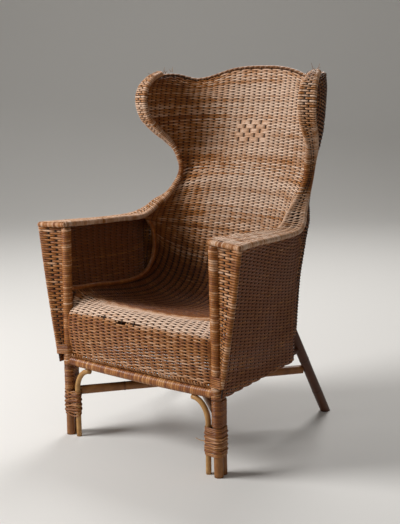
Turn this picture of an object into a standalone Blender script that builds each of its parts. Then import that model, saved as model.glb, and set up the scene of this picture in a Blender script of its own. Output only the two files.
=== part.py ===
"""An old wing-back armchair of woven cane on a frame of bent cane poles.

Metres, +Z up, front towards -Y. The origin is on the floor under the middle of the chair.
Left is the -X side and right the +X side, as seen from the front.

Every outline below is given from the line through the two front legs, with y going back and
z going up, and place() moves it into the chair's frame. The weave is a wall with a ridge for
each group of stakes and a row of gaps along the valleys between them.
"""

import math

import bmesh
import bpy
import numpy as np

NAME = "cane_wing_armchair"
SIDES = (("left", -1.0), ("right", 1.0))

# Walls and clearances
GAP = 0.0004
TWIST_GAP = 0.0016
CREST_GAP = 0.0023
BACK_CREST_GAP = 0.0050
WALL = 0.006
RIDGE = 0.0020

# Where the line of the front legs lies in the chair's frame
LEG_LINE = -0.3257

# Front legs, from the floor to the arm tops
LEG_R = 0.0135
LEG_FOOT_X = 0.281
LEG_TOP_X = 0.268
ARM_FRONT_Z = 0.662
LEG_TOP = ARM_FRONT_Z - 0.0093

# Poles that stand beside each front leg
BRACE_R = 0.008
BRACE_SPACING = 0.032
BRACE_BEND_Z = 0.150
BRACE_END_X = 0.192
BRACE_SEAT = 0.0008
BACK_POLE_R = 0.010

# Wraps and lashings round the legs
LASH = 0.0035
LASHING_LOW = 0.066
LASHING_TOP = 0.149
CLIP_LOW = 0.228
CLIP_TOP = 0.262
CLIP_FROM = math.radians(-115.0)
CLIP_TO = math.radians(20.0)

# Rails
RAIL_R = 0.0145
RAIL_Z = 0.240
WRAP_TOP = RAIL_Z - RAIL_R - GAP
BORDER_R = 0.004
BORDER_FORWARD = 0.005
SIDE_RAIL_R = 0.010
SIDE_RAIL_Z = 0.245
REAR_RAIL_R = 0.010
REAR_RAIL_Z = 0.298

# Rear legs, splayed to the back, which the outer back stands on
BACK_FOOT_Z = 0.312
REAR_TOP_Z = BACK_FOOT_Z - 2.0 * GAP
REAR_LEG_R = 0.0155
REAR_FOOT_X = 0.272
REAR_FOOT_Y = 0.626
REAR_TOP_X = 0.256
REAR_TOP_Y = 0.434

# Crossed stretchers
STRETCHER_R = 0.014
STRETCHER_FRONT_Z = 0.140
STRETCHER_REAR_Z = 0.170
STRETCHER_FRONT_CLEAR = 0.003
STRETCHER_REAR_CLEAR = 0.0085

# Poles under the seat
SEAT_BAR_R = 0.012
SEAT_BAR_Y = 0.010
SEAT_BAR_Z = 0.374
SEAT_SIDE_R = 0.009
SEAT_SIDE_FRONT_Z = 0.350
BEARER_R = 0.008
BEARER_STATIONS = (5.6, 6.6, 7.6)

# Edge poles of the arms and wings
INNER_R = 0.007
OUTER_R = 0.006
NOSE_R = 0.0065
POCKET_R = 0.007
CREST_R = 0.0065
BACK_POST_R = 0.0064
BACK_POST_FOOT = 11
BACK_POST_TOP = 20
BACK_POST_SHARE = 0.80
BACK_POST_SHIFT = 0.0020
OUTER_POST_FOOT_X = 0.301

# Weave: ridges and gaps
SEAT_RIDGES = 10
BACK_RIDGES = 10
PANEL_RIDGES = 6
VALLEY_SHARE = 0.10
PANEL_ROWS = 6
INNER_ROUND = 2.4
OUTER_ROUND = 2.35
ARM_CROWN = 0.004
ARM_TOP_START = 0.1
ARM_FRONT_LOW = 0.330
ARM_FRONT_ROWS = 16

# Stations of the rows: whole numbers, and halves where the weave bends sharply
SHARP_BENDS = (2.5, 3.5, 4.5, 8.5, 9.5, 15.5)
LAST_STATION = 24

# Crest: how far it dips where the back turns into the wings
CREST_DIP = 0.034
DIP_X = 0.225
DIP_REACH = 0.055
DIP_REACH_IN = 0.095
DIP_FROM = 21.0
DIP_CURVE = 1.7

# Middle line of the inner weave, front rail to crest: (y, z)
APRON_FOOT_Z = RAIL_Z + RAIL_R + 2.0 * BORDER_R + 2.0 * GAP
MIDDLE = (
    (-0.003, APRON_FOOT_Z),
    (-0.016, 0.320),
    (-0.021, 0.375),
    (-0.012, 0.407),
    (0.015, 0.420),
    (0.062, 0.414),
    (0.150, 0.396),
    (0.260, 0.377),
    (0.360, 0.372),
    (0.440, 0.395),
    (0.483, 0.450),
    (0.505, 0.530),
    (0.523, 0.600),
    (0.539, 0.655),
    (0.553, 0.695),
    (0.567, 0.740),
    (0.585, 0.790),
    (0.599, 0.840),
    (0.612, 0.890),
    (0.623, 0.930),
    (0.634, 0.970),
    (0.645, 1.020),
    (0.652, 1.060),
    (0.657, 1.090),
    (0.660, 1.108),
)

# Side line of the apron and front roll, beside the leg: (y, z), stations 0 to 4
FRONT_SIDE = ((0.000, APRON_FOOT_Z), (-0.006, 0.320), (-0.008, 0.365), (-0.002, 0.388), (0.012, 0.402))

# Pocket pole, the border of the opening in each arm: (x, y, z), stations 5 to 12
POCKET_FRONT_Z = 0.468
POCKET = (
    (0.261, 0.035, 0.463),
    (0.261, 0.125, 0.455),
    (0.261, 0.250, 0.441),
    (0.260, 0.340, 0.448),
    (0.258, 0.386, 0.484),
    (0.256, 0.400, 0.540),
    (0.256, 0.393, 0.594),
    (0.257, 0.372, 0.624),
)

# Inner edge pole along arm, swoop, waist and wing: (x, y, z); the last 13 are stations 12 to 24
ARM_STATIONS = 3
INNER_EDGE = (
    (0.266, -0.012, ARM_FRONT_Z),
    (0.2655, 0.100, 0.654),
    (0.266, 0.230, 0.646),
    (0.262, 0.335, 0.641),
    (0.256, 0.380, 0.653),
    (0.249, 0.418, 0.677),
    (0.242, 0.464, 0.702),
    (0.2405, 0.5315, 0.768),
    (0.2485, 0.529, 0.827),
    (0.265, 0.506, 0.874),
    (0.279, 0.464, 0.914),
    (0.289, 0.422, 0.960),
    (0.292, 0.408, 1.013),
    (0.292, 0.424, 1.056),
    (0.290, 0.457, 1.083),
    (0.287, 0.495, 1.095),
)

# Outer edge pole at the same stations
OUTER_EDGE = (
    (0.360, -0.018, 0.655),
    (0.341, 0.100, 0.649),
    (0.325, 0.240, 0.641),
    (0.316, 0.355, 0.640),
    (0.301, 0.414, 0.656),
    (0.286, 0.446, 0.678),
    (0.2645, 0.494, 0.704),
    (0.250, 0.547, 0.768),
    (0.259, 0.550, 0.831),
    (0.284, 0.516, 0.873),
    (0.308, 0.470, 0.914),
    (0.323, 0.431, 0.958),
    (0.329, 0.418, 1.012),
    (0.325, 0.432, 1.054),
    (0.313, 0.462, 1.082),
    (0.301, 0.497, 1.097),
)

# Outer back: middle line (y, z), and its front edge under the arm (x, y, z)
BACK_MIDDLE = (
    (0.468, BACK_FOOT_Z),
    (0.485, 0.400),
    (0.515, 0.500),
    (0.543, 0.590),
    (0.566, 0.655),
    (0.582, 0.695),
    (0.597, 0.740),
    (0.613, 0.790),
    (0.627, 0.840),
    (0.637, 0.890),
    (0.648, 0.930),
    (0.658, 0.970),
    (0.666, 1.020),
    (0.670, 1.060),
    (0.672, 1.090),
    (0.6735, 1.113),
)
BACK_CORNER = ((0.289, 0.386, BACK_FOOT_Z), (0.290, 0.388, 0.400), (0.293, 0.390, 0.500), (0.300, 0.397, 0.590))

# Outer side panels
PANEL_FOOT_Z = 0.234

# Colours
HONEY = (0.42, 0.19, 0.075)
BROWN = (0.26, 0.105, 0.045)
PALE = (0.62, 0.42, 0.20)


def place(points):
    """Move points from the line of the front legs into the chair's frame."""
    moved = np.array(points, dtype=float).reshape(-1, 3)
    moved[:, 1] += LEG_LINE
    return moved


def mirrored(points, side):
    """Points of the right side, or their mirror image for the left side."""
    return np.array(points, dtype=float) * np.array((side, 1.0, 1.0))


def through(points, at):
    """Points on the smooth curve through a list of points, at fractional places in that list."""
    p = np.array(points, dtype=float)
    at = np.clip(np.atleast_1d(at).astype(float), 0.0, len(p) - 1.0)
    i = np.minimum(at.astype(int), len(p) - 2)
    f = (at - i)[:, None]
    p1, p2 = p[i], p[i + 1]
    p0 = np.where((i > 0)[:, None], p[np.maximum(i - 1, 0)], 2.0 * p1 - p2)
    p3 = np.where((i < len(p) - 2)[:, None], p[np.minimum(i + 2, len(p) - 1)], 2.0 * p2 - p1)
    turn = 2.0 * p0 - 5.0 * p1 + 4.0 * p2 - p3
    lean = 3.0 * p1 - p0 - 3.0 * p2 + p3
    return 0.5 * (2.0 * p1 + (p2 - p0) * f + turn * f ** 2 + lean * f ** 3)


def toward(start, end, distance):
    """The point at a distance from start on the way to end."""
    start = np.array(start, dtype=float)
    way = np.array(end, dtype=float) - start
    return start + way * (distance / np.linalg.norm(way))


def material(name, colour, roughness):
    """A plain cane finish."""
    finish = bpy.data.materials.new(name)
    finish.use_nodes = True
    shader = finish.node_tree.nodes["Principled BSDF"]
    shader.inputs["Base Color"].default_value = (*colour, 1.0)
    shader.inputs["Roughness"].default_value = roughness
    shader.inputs["Metallic"].default_value = 0.0
    return finish


def keep(obj, finish):
    """Put an object in the chair's collection and give it its material."""
    bpy.data.collections[NAME].objects.link(obj)
    obj.data.materials.append(bpy.data.materials[finish])
    return obj


def pole(name, points, radius, finish, resolution=2):
    """A round cane pole along points, given from the leg line."""
    curve = bpy.data.curves.new(name, "CURVE")
    curve.dimensions = "3D"
    curve.bevel_depth = radius
    curve.bevel_resolution = resolution
    curve.use_fill_caps = True
    spline = curve.splines.new("POLY")
    path = place(points)
    spline.points.add(len(path) - 1)
    for point, co in zip(spline.points, path):
        point.co = (*co, 1.0)
    return keep(bpy.data.objects.new(name, curve), finish)


def standing_pole(name, foot, top, radius, finish, sides=12):
    """A straight leaning pole whose two ends are cut level, as a leg's are on the floor."""
    foot, top = place((foot, top))
    lean = (top - foot) / (top[2] - foot[2])
    mesh = bpy.data.meshes.new(name)
    bm = bmesh.new()
    height = top[2] - foot[2]
    bmesh.ops.create_cone(bm, cap_ends=True, segments=sides, radius1=radius, radius2=radius, depth=height)
    stretch = math.hypot(1.0, lean[1])
    for vertex in bm.verts:
        rise = vertex.co.z + height / 2.0
        vertex.co.y *= stretch
        vertex.co.x += foot[0] + lean[0] * rise
        vertex.co.y += foot[1] + lean[1] * rise
        vertex.co.z = foot[2] + rise
    bm.to_mesh(mesh)
    bm.free()
    return keep(bpy.data.objects.new(name, mesh), finish)


def wall(name, grid, finish, thickness=WALL, gaps=()):
    """A thin wall on a grid of points (rows, columns, 3), left open at the given cells."""
    rows, columns = grid.shape[:2]
    index = np.arange(rows * columns).reshape(rows, columns)
    faces = []
    for i in range(rows - 1):
        for j in range(columns - 1):
            if (i, j) not in gaps:
                faces.append((index[i, j], index[i, j + 1], index[i + 1, j + 1], index[i + 1, j]))
    mesh = bpy.data.meshes.new(name)
    mesh.from_pydata(place(grid).tolist(), [], faces)
    obj = keep(bpy.data.objects.new(name, mesh), finish)
    shell = obj.modifiers.new("Solidify", "SOLIDIFY")
    shell.thickness = thickness
    shell.offset = 0.0
    return obj


def surface_normals(grid):
    """Unit normals of a grid of points, from the differences between its rows and columns."""
    along = np.gradient(grid, axis=0)
    across = np.gradient(grid, axis=1)
    normal = np.cross(across, along)
    return normal / np.maximum(np.linalg.norm(normal, axis=2, keepdims=True), 1e-9)


def ridge_columns(ridges):
    """Column places from 0 to 1 and their heights: each ridge between the sides of its valleys."""
    places = [0.0]
    heights = [0.0]
    for k in range(ridges):
        places += [(k + VALLEY_SHARE / 2.0) / ridges, (k + 0.5) / ridges, (k + 1.0 - VALLEY_SHARE / 2.0) / ridges]
        heights += [0.0, float(0 < k < ridges - 1), 0.0]
    return np.array(places + [1.0]), np.array(heights + [0.0])


def ridged(grid, heights):
    """Raise the columns of a grid by their ridge heights."""
    return grid + surface_normals(grid) * (RIDGE * heights)[None, :, None]


def valley_gaps(ridges, first, last):
    """Cells left open: every second row of each valley, staggered from valley to valley."""
    cells = set()
    for k in range(1, ridges - 2):
        for i in range(first + k % 2, last, 2):
            cells.add((i, 3 * k + 3))
    return cells


def leg_x(z):
    """Where the front leg's axis stands at a height."""
    return LEG_FOOT_X + (LEG_TOP_X - LEG_FOOT_X) * z / LEG_TOP


def rear_leg_at(z):
    """Where the rear leg's axis passes at a height."""
    f = z / REAR_TOP_Z
    x = REAR_FOOT_X + (REAR_TOP_X - REAR_FOOT_X) * f
    y = REAR_FOOT_Y + (REAR_TOP_Y - REAR_FOOT_Y) * f
    return np.array((x, y, z))


def rear_lean():
    """How much longer than its width the rear leg's level section is, from front to back."""
    return math.hypot(1.0, (REAR_FOOT_Y - REAR_TOP_Y) / REAR_TOP_Z)


def stations_between(first, last):
    """The stations of the rows and of the poles' bends, so that both turn at the same places."""
    every = sorted(list(range(LAST_STATION + 1)) + list(SHARP_BENDS))
    return np.array([station for station in every if first <= station <= last], dtype=float)


def edge_places():
    """Places in the two edge tables where the edge poles bend."""
    arm = np.arange(ARM_STATIONS, dtype=float)
    return np.concatenate((arm, stations_between(12, LAST_STATION) - 12.0 + ARM_STATIONS))


def directions(path):
    """The direction of a path of straight runs at each of its points, halfway between two runs."""
    runs = np.diff(path, axis=0)
    runs /= np.linalg.norm(runs, axis=1, keepdims=True)
    both = np.concatenate((runs[:1], runs[:-1] + runs[1:], runs[-1:]))
    return both / np.linalg.norm(both, axis=1, keepdims=True)


def pole_at(table, places, place):
    """The axis point and the direction of an edge pole at one of its bends."""
    path = through(table, places)
    k = int(np.argmin(np.abs(places - place)))
    return path[k], directions(path)[k]


def against(axis, direction, target, distance):
    """The point at a distance from a pole's axis, square to the pole, on the side of a target."""
    way = np.array(target, dtype=float) - axis
    way -= direction * (way @ direction)
    return axis + way * (distance / np.linalg.norm(way))


def upright(point):
    """A point or direction without its x, as in a side view."""
    return point * np.array((0.0, 1.0, 1.0))


def behind(axis, direction, middle, distance):
    """Where a weave ends against an edge pole: square to the pole in the side view, towards the middle."""
    flat = upright(direction)
    flat /= np.linalg.norm(flat)
    end = against(upright(axis), flat, middle, distance)
    return np.array((axis[0], end[1], end[2]))


def middle_at(station):
    """A point of the inner weave's middle line."""
    y, z = through(MIDDLE, station)[0]
    return np.array((0.0, y, z))


def side_at(station):
    """Where the inner weave ends on the right: beside the leg, then against the edge poles."""
    if station <= 4.0:
        y, z = through(FRONT_SIDE, station)[0]
        return np.array((leg_x(z) - LEG_R - 2.0 * GAP - WALL / 2.0, y, z))
    if station < 5.0:
        return side_at(4.0) * (5.0 - station) + side_at(5.0) * (station - 4.0)
    if station <= 12.0:
        axis, direction = pole_at(POCKET, stations_between(5, 12) - 5.0, station - 5.0)
        return behind(axis, direction, middle_at(station), POCKET_R + GAP)
    axis, direction = pole_at(INNER_EDGE, edge_places(), station - 12.0 + ARM_STATIONS)
    return behind(axis, direction, middle_at(station), INNER_R + 2.0 * GAP)


def section(middle, side, roundness, places):
    """A level of the bucket: a superellipse from side to side through its middle, evenly spaced."""
    angle = np.linspace(0.0, math.pi / 2.0, 49)
    out = np.sin(angle) ** (2.0 / roundness)
    back = 1.0 - np.cos(angle) ** (2.0 / roundness)
    half = middle + (side - middle) * np.stack((out, back, back), axis=1)
    length = np.concatenate(([0.0], np.cumsum(np.linalg.norm(np.diff(half, axis=0), axis=1))))
    at = np.abs(2.0 * places - 1.0) * length[-1]
    points = np.stack([np.interp(at, length, half[:, k]) for k in range(3)], axis=1)
    points[:, 0] *= np.where(places < 0.5, -1.0, 1.0)
    return points


def dip(points, station):
    """Lower the crest where the back turns into the wings."""
    left = min(1.0, (24.0 - station) / (24.0 - DIP_FROM))
    share = 1.0 - left**DIP_CURVE
    past = np.abs(points[:, 0]) - DIP_X
    near = np.exp(-((past / np.where(past < 0.0, DIP_REACH_IN, DIP_REACH)) ** 2))
    points[:, 2] -= CREST_DIP * share * near
    return points


def crest_line(places):
    """The axis of the crest rail, from behind one wing tip to behind the other."""
    top = middle_at(24.0)
    tip = (np.array(INNER_EDGE[-1]) + np.array(OUTER_EDGE[-1])) / 2.0
    tip[1] += CREST_R + GAP
    top[2] += CREST_R + GAP
    return dip(section(top, tip, INNER_ROUND, places), 24.0)


def inner_grid():
    """The inner weave: apron, front roll, seat, back and the inside of the wings, up to the crest rail."""
    places, heights = ridge_columns(SEAT_RIDGES)
    rows = []
    for t in stations_between(0, LAST_STATION - 1):
        rows.append(dip(section(middle_at(t), side_at(t), INNER_ROUND, places), t))
    rail = crest_line(places)
    along = directions(rail)
    down = along * along[:, 2:] - np.array((0.0, 0.0, 1.0))
    down /= np.linalg.norm(down, axis=1, keepdims=True)
    rows.append(rail + down * (CREST_R + CREST_GAP))
    grid = ridged(np.array(rows), heights)
    grid[-1] = rows[-1]
    return grid


def seat_and_back():
    """The one weave that runs from the front rail over the seat and up to the crest."""
    grid = inner_grid()
    gaps = valley_gaps(SEAT_RIDGES, 1, len(grid) - 2)
    wall("seat_and_back_weave", grid, "cane_weave", gaps=gaps)


def hull_outline(circles, spread, count=18):
    """Points round a group of circles (x, y, r), a spread outside them."""
    outline = []
    for k in range(count):
        angle = 2.0 * math.pi * k / count
        c, s = math.cos(angle), math.sin(angle)
        x, y, r = max(circles, key=lambda circle: circle[0] * c + circle[1] * s + circle[2])
        reach = (r + spread) / math.cos(math.pi / count)
        outline.append((x + reach * c, y + reach * s))
    return outline


def ring_outline(centre, inner, outer, start, end, count=8):
    """Points of a part of a ring, out along one edge and back along the other."""
    angles = [start + (end - start) * k / count for k in range(count + 1)]
    outside = [(centre[0] + outer * math.cos(a), centre[1] + outer * math.sin(a)) for a in angles]
    inside = [(centre[0] + inner * math.cos(a), centre[1] + inner * math.sin(a)) for a in reversed(angles)]
    return outside + inside


def wrap(name, outlines, low, high, finish):
    """Turns of cane round poles, as a flat outline with its hole, carried up from low to high."""
    curve = bpy.data.curves.new(name, "CURVE")
    curve.dimensions = "2D"
    curve.fill_mode = "BOTH"
    curve.extrude = (high - low) / 2.0
    for outline in outlines:
        spline = curve.splines.new("POLY")
        spline.points.add(len(outline) - 1)
        for point, (x, y) in zip(spline.points, outline):
            point.co = (x, y, 0.0, 1.0)
        spline.use_cyclic_u = True
    obj = keep(bpy.data.objects.new(name, curve), finish)
    obj.location = place((0.0, 0.0, (low + high) / 2.0))[0]
    return obj


def front_legs():
    """Each front leg, with the brace and the pole that stand beside it."""
    for label, side in SIDES:
        foot = (side * LEG_FOOT_X, 0.0, 0.0)
        top = (side * LEG_TOP_X, 0.0, LEG_TOP)
        standing_pole(f"front_leg_{label}", foot, top, LEG_R, "cane_pole")
        high = SIDE_RAIL_Z - SIDE_RAIL_R - GAP
        back_y = LEG_R + BACK_POLE_R + GAP
        low_end = (side * leg_x(0.0), back_y, 0.0)
        high_end = (side * leg_x(high), back_y, high)
        standing_pole(f"leg_back_pole_{label}", low_end, high_end, BACK_POLE_R, "cane_pole", 8)
        brace(label, side)


def brace(label, side):
    """The pale curved brace: up beside the leg, then a quarter arc in to the front rail."""
    x = leg_x(BRACE_BEND_Z) - BRACE_SPACING
    top = RAIL_Z - RAIL_R - GAP + BRACE_SEAT
    points = [(x, 0.0, 0.0), (x, 0.0, BRACE_BEND_Z / 2.0)]
    reach_x = x - BRACE_END_X
    reach_z = top - BRACE_R - BRACE_BEND_Z
    for k in range(9):
        angle = math.pi / 2.0 * k / 8.0
        points.append((BRACE_END_X + reach_x * math.cos(angle), 0.0, BRACE_BEND_Z + reach_z * math.sin(angle)))
    pole(f"leg_brace_{label}", mirrored(points, side), BRACE_R, "cane_pale")


def leg_wraps():
    """The lashing, the wrap and the rail lashing of each front leg."""
    back_y = LEG_R + BACK_POLE_R + GAP
    for label, side in SIDES:
        low_x = leg_x((LASHING_LOW + LASHING_TOP) / 2.0)
        brace_x = leg_x(BRACE_BEND_Z) - BRACE_SPACING
        poles = [(side * low_x, 0.0, LEG_R), (side * brace_x, 0.0, BRACE_R), (side * low_x, back_y, BACK_POLE_R)]
        outlines = (hull_outline(poles, LASH + GAP * 3.0), hull_outline(poles, GAP * 3.0))
        wrap(f"leg_lashing_{label}", outlines, LASHING_LOW, LASHING_TOP, "cane_wrap")
        high_x = leg_x((LASHING_TOP + WRAP_TOP) / 2.0)
        poles = [(side * high_x, 0.0, LEG_R), (side * high_x, back_y, BACK_POLE_R)]
        outlines = (hull_outline(poles, LASH + GAP * 3.0), hull_outline(poles, GAP * 3.0))
        wrap(f"leg_wrap_{label}", outlines, LASHING_TOP + GAP, WRAP_TOP, "cane_wrap")
        clip_x = leg_x((CLIP_LOW + CLIP_TOP) / 2.0)
        inner = LEG_R + GAP * 2.0
        clip = ring_outline((clip_x, 0.0), inner, inner + LASH, CLIP_FROM, CLIP_TO)
        clip = [(side * x, y) for x, y in clip]
        wrap(f"rail_lashing_{label}", [clip], CLIP_LOW, CLIP_TOP, "cane_wrap")


def rails():
    """Front, side and rear rails, the border row on the front rail and the front seat bar."""
    reach = leg_x(RAIL_Z + RAIL_R) - LEG_R - GAP
    pole("front_rail", [(-reach, 0.0, RAIL_Z), (reach, 0.0, RAIL_Z)], RAIL_R, "cane_wrap", 3)
    lift = math.sqrt((RAIL_R + BORDER_R + GAP) ** 2 - BORDER_FORWARD ** 2)
    border = (-BORDER_FORWARD, RAIL_Z + lift)
    reach = leg_x(APRON_FOOT_Z) - LEG_R - GAP
    pole("apron_border", [(-reach, *border), (reach, *border)], BORDER_R, "cane_pole")
    reach = leg_x(SEAT_BAR_Z + SEAT_BAR_R) - LEG_R - GAP
    ends = [(-reach, SEAT_BAR_Y, SEAT_BAR_Z), (reach, SEAT_BAR_Y, SEAT_BAR_Z)]
    pole("seat_front_bar", ends, SEAT_BAR_R, "cane_pole")
    rear = rear_leg_at(REAR_RAIL_Z)
    reach = rear_leg_at(REAR_RAIL_Z + REAR_RAIL_R)[0] - REAR_LEG_R - GAP
    pole("rear_rail", [(-reach, rear[1], rear[2]), (reach, rear[1], rear[2])], REAR_RAIL_R, "cane_pole")
    for label, side in SIDES:
        rear = rear_leg_at(SIDE_RAIL_Z + SIDE_RAIL_R)
        ends = [
            (side * leg_x(SIDE_RAIL_Z), LEG_R + GAP, SIDE_RAIL_Z),
            (side * rear[0], rear[1] - REAR_LEG_R * rear_lean() - GAP, SIDE_RAIL_Z),
        ]
        pole(f"side_rail_{label}", ends, SIDE_RAIL_R, "cane_pole")


def rear_legs():
    """The splayed rear legs."""
    for label, side in SIDES:
        foot = (side * REAR_FOOT_X, REAR_FOOT_Y, 0.0)
        top = (side * REAR_TOP_X, REAR_TOP_Y, REAR_TOP_Z)
        standing_pole(f"rear_leg_{label}", foot, top, REAR_LEG_R, "cane_pole")


def stretchers():
    """Two crossed stretchers from front leg to opposite rear leg, the high one lying on the low one."""
    back_y = LEG_R + BACK_POLE_R + GAP
    corner = math.hypot(BRACE_SPACING, back_y) / 2.0 + BRACE_R + LASH + 3.0 * GAP
    share = LEG_FOOT_X / (LEG_FOOT_X + REAR_FOOT_X)
    crossing = STRETCHER_FRONT_Z + (STRETCHER_REAR_Z - STRETCHER_FRONT_Z) * share
    high = crossing + 2.0 * STRETCHER_R + GAP
    runs = (("cross_stretcher_low", -1.0, STRETCHER_FRONT_Z, STRETCHER_REAR_Z), ("cross_stretcher_high", 1.0, high, high))
    for name, side, front_z, rear_z in runs:
        front = np.array((side * leg_x(front_z), 0.0, front_z))
        rear = rear_leg_at(rear_z) * np.array((-side, 1.0, 1.0))
        start = toward(front, rear, corner + STRETCHER_FRONT_CLEAR)
        end = toward(rear, front, REAR_LEG_R + STRETCHER_REAR_CLEAR)
        pole(name, [start, end], STRETCHER_R, "cane_pole")


def seat_bars():
    """The hidden bars under the seat: two along the sides, and the bearers between them."""
    front_z = SEAT_SIDE_FRONT_Z
    rear = rear_leg_at(REAR_TOP_Z)
    rear_y = rear[1] - REAR_LEG_R * rear_lean() - 3.0 * GAP
    rear_z = REAR_TOP_Z - SEAT_SIDE_R
    front_x = leg_x(front_z)
    for label, side in SIDES:
        ends = [(side * front_x, LEG_R + 3.0 * GAP, front_z), (side * rear[0], rear_y, rear_z)]
        pole(f"seat_side_bar_{label}", ends, SEAT_SIDE_R, "cane_pole")
    for number, station in enumerate(BEARER_STATIONS, 1):
        y = middle_at(station)[1]
        share = (y - LEG_R) / (rear_y - LEG_R)
        x = front_x + (rear[0] - front_x) * share - SEAT_SIDE_R - 2.0 * GAP
        z = front_z + (rear_z - front_z) * share
        pole(f"seat_bearer_{number}", [(-x, y, z), (x, y, z)], BEARER_R, "cane_pole")


def edge_poles():
    """The bent poles round arms, waist and wings, and the posts that carry them."""
    places = edge_places()
    for label, side in SIDES:
        inner = through(INNER_EDGE, places)
        outer = through(OUTER_EDGE, places)
        pole(f"inner_edge_pole_{label}", mirrored(inner, side), INNER_R, "cane_wrap")
        pole(f"outer_edge_pole_{label}", mirrored(outer, side), OUTER_R, "cane_wrap")
        start = [(POCKET[0][0], LEG_R + GAP, POCKET_FRONT_Z)]
        pocket = np.concatenate((start, through(POCKET, stations_between(5, 12) - 5.0)))
        pole(f"pocket_pole_{label}", mirrored(pocket, side), POCKET_R, "cane_wrap")
        foot = (OUTER_POST_FOOT_X, OUTER_EDGE[0][1], CLIP_TOP + GAP)
        top = (OUTER_EDGE[0][0], OUTER_EDGE[0][1], OUTER_EDGE[0][2] - OUTER_R - GAP)
        foot = (foot[0] * side, foot[1], foot[2])
        top = (top[0] * side, top[1], top[2])
        standing_pole(f"arm_outer_post_{label}", foot, top, OUTER_R, "cane_wrap", 8)
        nose = [
            (INNER_EDGE[0][0] + INNER_R + GAP, INNER_EDGE[0][1], INNER_EDGE[0][2] - GAP),
            (OUTER_EDGE[0][0] - OUTER_R - 6.0 * GAP, OUTER_EDGE[0][1] + NOSE_R - OUTER_R, OUTER_EDGE[0][2] - GAP),
        ]
        pole(f"arm_nose_{label}", mirrored(nose, side), NOSE_R, "cane_wrap")


def ribbon(name, side, places, columns, crown):
    """A woven strip between the inner and the outer edge poles, raised a little along its middle."""
    rows = []
    for place_on in places:
        a, along_a = pole_at(INNER_EDGE, edge_places(), place_on)
        b, along_b = pole_at(OUTER_EDGE, edge_places(), place_on)
        start = against(a, along_a, b, INNER_R + TWIST_GAP)
        end = against(b, along_b, a, OUTER_R + TWIST_GAP)
        share = np.linspace(0.0, 1.0, columns + 1)[:, None]
        rows.append(start + (end - start) * share)
    grid = np.array(rows)
    up = surface_normals(grid)
    arch = np.sin(np.linspace(0.0, math.pi, columns + 1))
    ridges = np.where(np.arange(columns + 1) % 2 == 1, RIDGE, 0.0)
    width = np.linalg.norm(grid[:, -1] - grid[:, 0], axis=1)
    share = (width / width.max())[:, None, None]
    grid = grid + up * (crown * arch + ridges)[None, :, None] * share
    if places[0] == 0.0:
        grid[0] += (grid[1] - grid[0]) * ARM_TOP_START
    wall(name, mirrored(grid, side), "cane_weave", thickness=WALL * 0.75)


def arm_tops_and_wing_edges():
    """The woven arm tops, which sweep up to the waist, and the woven front edges of the wings."""
    for label, side in SIDES:
        ribbon(f"arm_top_{label}", side, np.arange(0.0, 7.0), 6, ARM_CROWN)
        ribbon(f"wing_edge_{label}", side, np.arange(9.0, 15.0), 4, ARM_CROWN / 2.0)


def arm_fronts():
    """The narrow woven faces between the front legs and the outer arm posts."""
    for label, side in SIDES:
        low, high = ARM_FRONT_LOW, OUTER_EDGE[0][2] - NOSE_R - 2.0 * GAP
        rows = []
        for z in np.linspace(low, high, ARM_FRONT_ROWS + 1):
            share = (z - CLIP_TOP) / (OUTER_EDGE[0][2] - CLIP_TOP)
            inner = leg_x(z) + LEG_R + GAP
            outer = OUTER_POST_FOOT_X + (OUTER_EDGE[0][0] - OUTER_POST_FOOT_X) * share - OUTER_R - GAP
            x = np.linspace(inner, outer, 6)
            y = np.linspace(-LEG_R / 2.0, OUTER_EDGE[0][1], 6)
            rows.append(np.stack((x, y, np.full(6, z)), axis=1))
        gaps = {(i, j) for j in (0, 2) for i in range(ARM_FRONT_ROWS // 2 + j // 2 - 2, ARM_FRONT_ROWS - 1, 2)}
        wall(f"arm_front_{label}", mirrored(rows, side), "cane_weave", thickness=WALL / 2.0, gaps=gaps)


def side_panels():
    """The outer sides, from under the arm down to the skirt, and from the outer post to the back."""
    places, heights = ridge_columns(PANEL_RIDGES)
    for label, side in SIDES:
        top = through(OUTER_EDGE, np.linspace(0.0, 4.2, len(places)))
        front_y = OUTER_EDGE[0][1] + OUTER_R + GAP
        rear = np.array((*BACK_CORNER, back_side_at(4.0)))
        top_y = front_y + (rear[-1, 1] - 2.0 * TWIST_GAP - front_y) * places
        top_x = np.interp(top_y, top[:, 1], top[:, 0])
        top_z = np.interp(top_y, top[:, 1], top[:, 2]) - OUTER_R - 2.0 * TWIST_GAP
        rows = []
        for share in np.linspace(0.0, 1.0, PANEL_ROWS + 1):
            z = PANEL_FOOT_Z + (top_z - PANEL_FOOT_Z) * share
            front_x = OUTER_POST_FOOT_X + (top_x[0] - OUTER_POST_FOOT_X) * share
            rear_x = np.interp(z[-1], rear[:, 2], rear[:, 0])
            rear_y = np.interp(z[-1], rear[:, 2], rear[:, 1]) - 2.0 * TWIST_GAP
            x = front_x + (rear_x - front_x) * places
            y = front_y + (rear_y - front_y) * places
            rows.append(np.stack((x, y, z), axis=1))
        grid = ridged(np.array(rows), heights)
        wall(f"side_panel_{label}", mirrored(grid, side), "cane_weave")


def back_side_at(station):
    """Where the back panel ends on the right: behind the side panel, then behind the outer edge pole."""
    if station <= 3.0:
        return through(BACK_CORNER, station)[0]
    axis, direction = pole_at(OUTER_EDGE, edge_places(), float(station))
    return behind(axis, direction, back_middle_at(station), OUTER_R + TWIST_GAP)


def back_middle_at(station):
    """A point of the back panel's middle line."""
    y, z = through(BACK_MIDDLE, station)[0]
    return np.array((0.0, y, z))


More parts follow.
